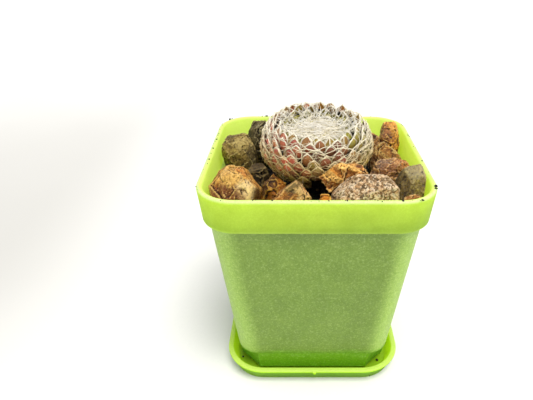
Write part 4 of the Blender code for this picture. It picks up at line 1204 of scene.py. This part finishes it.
def link_threads(leaves):
    """Cobweb threads from tip to tip, sagging onto the leaves between."""
    chance = random.Random(23)
    tree = kdtree.KDTree(len(leaves))
    for index, leaf in enumerate(leaves):
        tree.insert(Vector(leaf.tip), index)
    tree.balance()
    paths = []
    for index, leaf in enumerate(leaves):
        for _, other, gap in tree.find_range(Vector(leaf.tip), 5.0):
            if other <= index:
                continue
            mate = leaves[other]
            if chance.random() < (0.5 if gap < 4.0 else 0.8):
                continue
            strands = chance.choice((1, 2, 3, 4)) if gap < 4.0 else chance.choice((1, 1, 2))
            thick = chance.choice((0.6, 1.0, 1.0, 1.5))
            for strand in range(strands):
                start = leaf.tip + np.array([chance.gauss(0, 0.16) for _ in range(3)])
                end = mate.tip + np.array([chance.gauss(0, 0.16) for _ in range(3)])
                facing = leaf.outward + mate.outward
                facing /= np.linalg.norm(facing)
                sag = chance.uniform(-0.15, 0.45)
                drop = chance.uniform(0.0, 0.9) if leaf.radius > 15 else 0.0
                shares = np.linspace(0, 1, 8)
                path = [start * (1 - share) + end * share + facing * sag * math.sin(share * math.pi)
                        - np.array([0, 0, 1]) * drop * math.sin(share * math.pi) for share in shares]
                path = [point + wobble(point, 0.12, strand + 3) for point in path]
                paths.append((path, tapered(8, thick * chance.choice((0.05, 0.07, 0.10)), (0.9, 0.9))))
    return paths


def drape_threads(crown):
    """Threads that wander over the rosette's flanks, across the front and downwards at the right."""
    chance = random.Random(59)
    first = np.interp(14.0, crown.radius[:np.argmax(crown.radius > 16)], crown.along[:np.argmax(crown.radius > 16)])
    paths = []
    for number in range(DRAPE_THREADS):
        turn = chance.uniform(0, math.tau)
        along = first + (crown.along[-1] - first) * chance.random() ** 0.45
        right = math.cos(turn) > 0.5
        heading = chance.gauss(math.pi / 2, 0.35) if right else chance.gauss(0.0, 0.75)
        length = chance.uniform(2.5, 8.0)
        lift, wave = chance.uniform(-0.3, 0.55), chance.uniform(0.0, 0.5)
        low = min(max((86 - crown.at(along)[1]) / 8, 0), 1)
        path, hidden = [], False
        for share in np.linspace(0, 1, 9):
            here = min(along + math.sin(heading) * length * share, crown.along[-1] - 0.3)
            radius, level, _, _ = crown.at(here)
            across, up = crown.normal(here)
            angle = turn + math.cos(heading) * length * share / max(radius, 4.0)
            out = np.array([math.cos(angle), math.sin(angle), 0.0])
            rise = lift + wave * math.sin(share * 9.0 + number)
            point = np.array([*ROSETTE_CENTRE, level]) + out * radius + (out * across + [0, 0, up]) * rise
            path.append(tilted(point))
            path[-1] = path[-1] + wobble(path[-1], 0.28, number % 4)
            hidden = hidden or in_hollow(angle, level)
        if hidden:
            continue
        thick = chance.choice((0.05, 0.07, 0.09, 0.13)) * (1 + 0.4 * low)
        paths.append((path, tapered(9, thick, (0.4, 0.3))))
    return paths


def crown_point(crown, across, rise):
    """A point above the heart of the rosette, at across from its middle and rise above the leaf tips."""
    far = math.hypot(*across)
    ahead = np.argmax(crown.radius > CROWN_REACH)
    level = np.interp(far, crown.radius[:ahead], crown.level[:ahead])
    return tilted((ROSETTE_CENTRE[0] + across[0], ROSETTE_CENTRE[1] + across[1], level + rise))


def crown_threads(crown):
    """The white felt over the heart of the rosette: threads criss-crossing in shallow arcs, and out to the tips."""
    chance = random.Random(31)
    paths = []
    for number in range(FELT_THREADS):
        outer = number % 5 < 2
        place = chance.uniform(FELT_REACH - 1.0, CROWN_REACH - 0.5) if outer else chance.random() ** 0.6 * FELT_REACH
        angle = chance.uniform(0, math.tau)
        way = angle + chance.gauss(0, 0.5) if outer else chance.gauss(0, 0.55)
        length = chance.uniform(1.6, 4.0) if outer else chance.uniform(2.2, 6.0) * (1.15 - place / FELT_REACH * 0.6)
        along = np.array([math.cos(way), math.sin(way)])
        bend = chance.gauss(0, 0.25)
        rise = chance.uniform(-0.25, 0.7)
        path = []
        for share in np.linspace(-0.5, 0.5, 7):
            across = (np.array([place * math.cos(angle), place * math.sin(angle)]) + along * length * share
                      + np.array([-along[1], along[0]]) * bend * share**2 * 4)
            path.append(crown_point(crown, across, rise))
            path[-1] = path[-1] + wobble(path[-1], 0.22, number % 5)
        paths.append((path, tapered(7, chance.choice((0.05, 0.07, 0.10, 0.14)), (0.3, 0.3))))
    return paths


def felt_finish():
    """The matted wool under the top threads, with dark olive streaks, partly where the young leaves show through and
    partly painted shade in the gaps of the wool.
    """
    graph = Graph("felt_wool")
    x, y, z = graph.parts(graph.place())
    streak = graph.noise(1.1, 5.0, 0.75, 0.6, graph.stretch(graph.place(), (0.55, 1.0, 1.0)))
    # dark olive in the streaks: partly the young leaves, partly painted shade
    colour = graph.ramp(streak, [(0.38, srgb(92, 82, 20)), (0.49, srgb(186, 174, 110)), (0.62, srgb(255, 250, 232))])
    far = graph.node("ShaderNodeVectorMath", {0: graph.place(), 1: tuple(value * MM for value in FELT_MIDDLE)}, 1,
                     operation="DISTANCE")
    far = graph.math("ADD", far, graph.math("MULTIPLY", graph.math("SUBTRACT", streak, 0.5), 3.0 * MM))
    # darker olive towards the mat's edge, under the leaf tips: partly the leaves, partly painted shade
    between = graph.ramp(streak, [(0.36, srgb(58, 52, 6)), (0.50, srgb(136, 128, 36)), (0.66, srgb(214, 204, 124))])
    colour = graph.mix(graph.ranged(far, (FELT_REACH - 1.2) * MM, (FELT_REACH + 0.8) * MM), colour, between)
    return graph.finish(colour, graph.ranged(streak, 0.3, 0.7, 0.8, 0.6), graph.bump(streak, 0.3))


def make_felt(crown):
    """The mat under the felt's threads, combed into ridges from side to side."""
    rings = []
    ragged = [1 + 0.10 * noise.fractal(Vector((2.2 * math.cos(turn), 2.2 * math.sin(turn), 9.0)), 0.7, 2.0, 3)
              for turn in np.arange(96) * math.tau / 96]
    for radius in np.linspace(MAT_REACH, 0.4, 42):
        ring = []
        under = min(max((radius - FELT_REACH + 1.2) / 2.4, 0), 1)
        drop = 1.5 * under**2 * (3 - 2 * under)
        for turn, reach in zip(np.arange(96) * math.tau / 96, ragged):
            across = radius * reach * np.array([math.cos(turn), math.sin(turn)])
            comb = noise.fractal(Vector((across[0] / 2.6, across[1] / 0.7, 4.0)), 0.7, 2.0, 3)
            ring.append(crown_point(crown, across, 0.8 * comb - 0.35 - drop))
        rings.append(ring)
    edge = [(ROSETTE_CENTRE[0] + MAT_REACH * reach * math.cos(turn),
             ROSETTE_CENTRE[1] + MAT_REACH * reach * math.sin(turn), 86.0)
            for turn, reach in zip(np.arange(96) * math.tau / 96, ragged)]
    rings.insert(0, [tilted(point) for point in edge])
    made = add_object("web_felt", *stacked([np.array(ring) for ring in rings]), felt_finish())
    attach(made, "root")
    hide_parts("rosette")


def loose_threads(leaves):
    """Wisps that hang off the sides of the rosette down to the stones."""
    chance = random.Random(47)
    paths = []
    sides = [leaf for leaf in leaves if 73 < leaf.level < 86 and leaf.radius > 13]
    for _ in range(150):
        leaf = chance.choice(sides)
        right = leaf.out[0] > 0.55
        if not right and chance.random() < 0.55:
            continue
        length = chance.uniform(2.0, 6.5) * (1.3 if right else 0.8)
        way = -np.array([0, 0, 1]) + leaf.out * chance.uniform(-0.15, 0.12) + leaf.side * chance.uniform(-0.35, 0.35)
        start = leaf.tip + leaf.outward * 0.15
        path = []
        for share in np.linspace(0, 1, 9):
            point = start + way * length * share + leaf.outward * 0.35 * math.sin(share * math.pi)
            path.append(point + wobble(point, 0.3, 9))
        paths.append((path, tapered(9, chance.uniform(0.05, 0.10), (0.9, 0.3))))
    return paths


def long_threads(crown):
    """Thick threads that run from side to side over the tips, sagging between them."""
    chance = random.Random(71)
    paths = []
    for number in range(LONG_THREADS):
        turn, top = chance.uniform(0, math.tau), chance.uniform(0.42, 0.72)
        along, sweep = crown.along[-1] * top, chance.uniform(0.35, 0.95)
        path = []
        for share in np.linspace(0, 1, 15):
            here = along + 1.6 * math.sin(share * 7 + number) * share + chance.uniform(-0.25, 0.25)
            radius, level, _, _ = crown.at(here)
            across, up = crown.normal(here)
            angle = turn + sweep * share
            out = np.array([math.cos(angle), math.sin(angle), 0.0])
            rise = 0.25 + 0.35 * math.sin(share * 13 + number)
            path.append(tilted(np.array([*ROSETTE_CENTRE, level]) + out * radius + (out * across + [0, 0, up]) * rise))
        paths.append((path, tapered(15, chance.choice((0.10, 0.14, 0.19)), (0.3, 0.3))))
    return paths


def in_hollow(turn, level):
    """The dark hollow at the front, under the rosette's edge, where the photograph shows no leaf."""
    degrees = (math.degrees(turn) + 180) % 360 - 180
    return HOLLOW_TURNS[0] < degrees < HOLLOW_TURNS[1] and level < HOLLOW_LEVEL


def make_webs(crown, leaves):
    make_felt(crown)
    # the low tones, beige and the rest, are painted warm shade on the lower threads
    white, beige = srgb(255, 251, 236), srgb(228, 196, 116)
    pieces = {
        "web_margins": (margin_threads(leaves), white, beige),
        "web_links": (link_threads(leaves), white, beige),
        "web_drapes": (drape_threads(crown) + long_threads(crown), srgb(255, 249, 228), srgb(242, 216, 142)),
        "web_crown": (crown_threads(crown), srgb(255, 254, 250), beige),
        "web_wisps": (loose_threads(leaves), srgb(246, 240, 226), srgb(222, 206, 172)),
    }
    for name, (paths, bright, low) in pieces.items():
        made = add_object(name, *thread_mesh(paths), web_finish(f"{name}_wool", bright, low))
        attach(made, "root")
        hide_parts("rosette")


def make_camera():
    """The photograph's camera. Its shift is the crop of a wider picture."""
    pitch, yaw, roll = (math.radians(angle) for angle in (CAMERA_PITCH, CAMERA_YAW, CAMERA_ROLL))
    forward = Vector((math.cos(pitch) * math.sin(yaw), math.cos(pitch) * math.cos(yaw), -math.sin(pitch)))
    level = Vector((math.cos(yaw), -math.sin(yaw), 0))
    right = Matrix.Rotation(-roll, 3, forward) @ level
    up = right.cross(forward)
    data = bpy.data.cameras.new("camera")
    data.sensor_width = SENSOR
    data.lens = FOCAL_PIXELS / IMAGE_WIDTH * SENSOR
    data.shift_x = SIDE_SHIFT_PIXELS / IMAGE_WIDTH
    camera = bpy.data.objects.new("camera", data)
    camera.matrix_world = (Matrix.Translation(Vector(CAMERA_PLACE) * MM)
                           @ Matrix((right, up, -forward)).transposed().to_4x4())
    bpy.context.scene.collection.objects.link(camera)
    bpy.context.scene.camera = camera


def add_sun(name, towards, strength, spread, colour=(1.0, 1.0, 1.0)):
    """Soft light from far away, from the direction towards."""
    data = bpy.data.lights.new(name, "SUN")
    data.energy = strength
    data.angle = math.radians(spread)
    data.color = colour
    lamp = bpy.data.objects.new(name, data)
    lamp.rotation_euler = Vector(towards).to_track_quat("Z", "Y").to_euler()
    bpy.context.scene.collection.objects.link(lamp)


def make_studio():
    """A white table in a white room, with soft light from above and the right, and painted shade on the table to the
    left of the pot.
    """
    bpy.context.scene.view_settings.view_transform = "Standard"
    world = bpy.data.worlds.new("studio")
    world.use_nodes = True
    world.node_tree.nodes["Background"].inputs["Color"].default_value = (1.0, 1.0, 0.995, 1.0)
    world.node_tree.nodes["Background"].inputs["Strength"].default_value = 0.98
    bpy.context.scene.world = world
    graph = Graph("white_table")
    grain = graph.noise(1.5, 3.0)
    x, y, _ = graph.parts(graph.place())
    paper = graph.mix(grain, (0.68, 0.678, 0.67), (0.72, 0.718, 0.71))
    wander = graph.math("MULTIPLY", graph.math("SUBTRACT", graph.noise(160.0, 2.0), 0.5), 0.12)
    far = graph.math("ADD", y, wander)
    # painted shade: the table greyer to the left of the pot, fading towards the back, the far left and the front
    painted_floor_shade = graph.math("MULTIPLY", graph.ranged(x, -0.05, -0.17), graph.ranged(far, 0.60, 0.06))
    near = graph.math("MULTIPLY", graph.ranged(x, -0.80, -0.40), graph.ranged(far, -0.22, 0.06, 0.25, 1.0))
    painted_floor_shade = graph.math("MULTIPLY", painted_floor_shade, near)
    graph.finish(graph.mix(painted_floor_shade, paper, (0.46, 0.455, 0.44)), graph.ranged(grain, 0.3, 0.7, 0.7, 0.8))
    side = 1500.0
    outline = np.array([(-side, -side), (side, -side), (side, side), (-side, side)])
    floor = add_object("white_table", at_level(outline, 0.0), [(0, 1, 2, 3)], graph.material)
    add_sun("key", (0.24, -0.30, 1.0), 3.0, 35, (1.0, 0.975, 0.92))


noise.seed_set(NOISE_SEED)
make_camera()
make_pot()
make_saucer()
for number, (name, family) in enumerate(STONE_FAMILY.items()):
    make_stone(name, family, number + 1)
soil = make_soil()
make_grit(soil)
make_crumbs()
crown = Crown()
draws = random.Random(41)
leaves = [Leaf(crown, number, draws) for number in range(LEAF_COUNT)]
leaves = [leaf for leaf in leaves if not in_hollow(leaf.turn, leaf.level)]
make_core(crown)
make_leaves(leaves)
make_webs(crown, leaves)
make_studio()
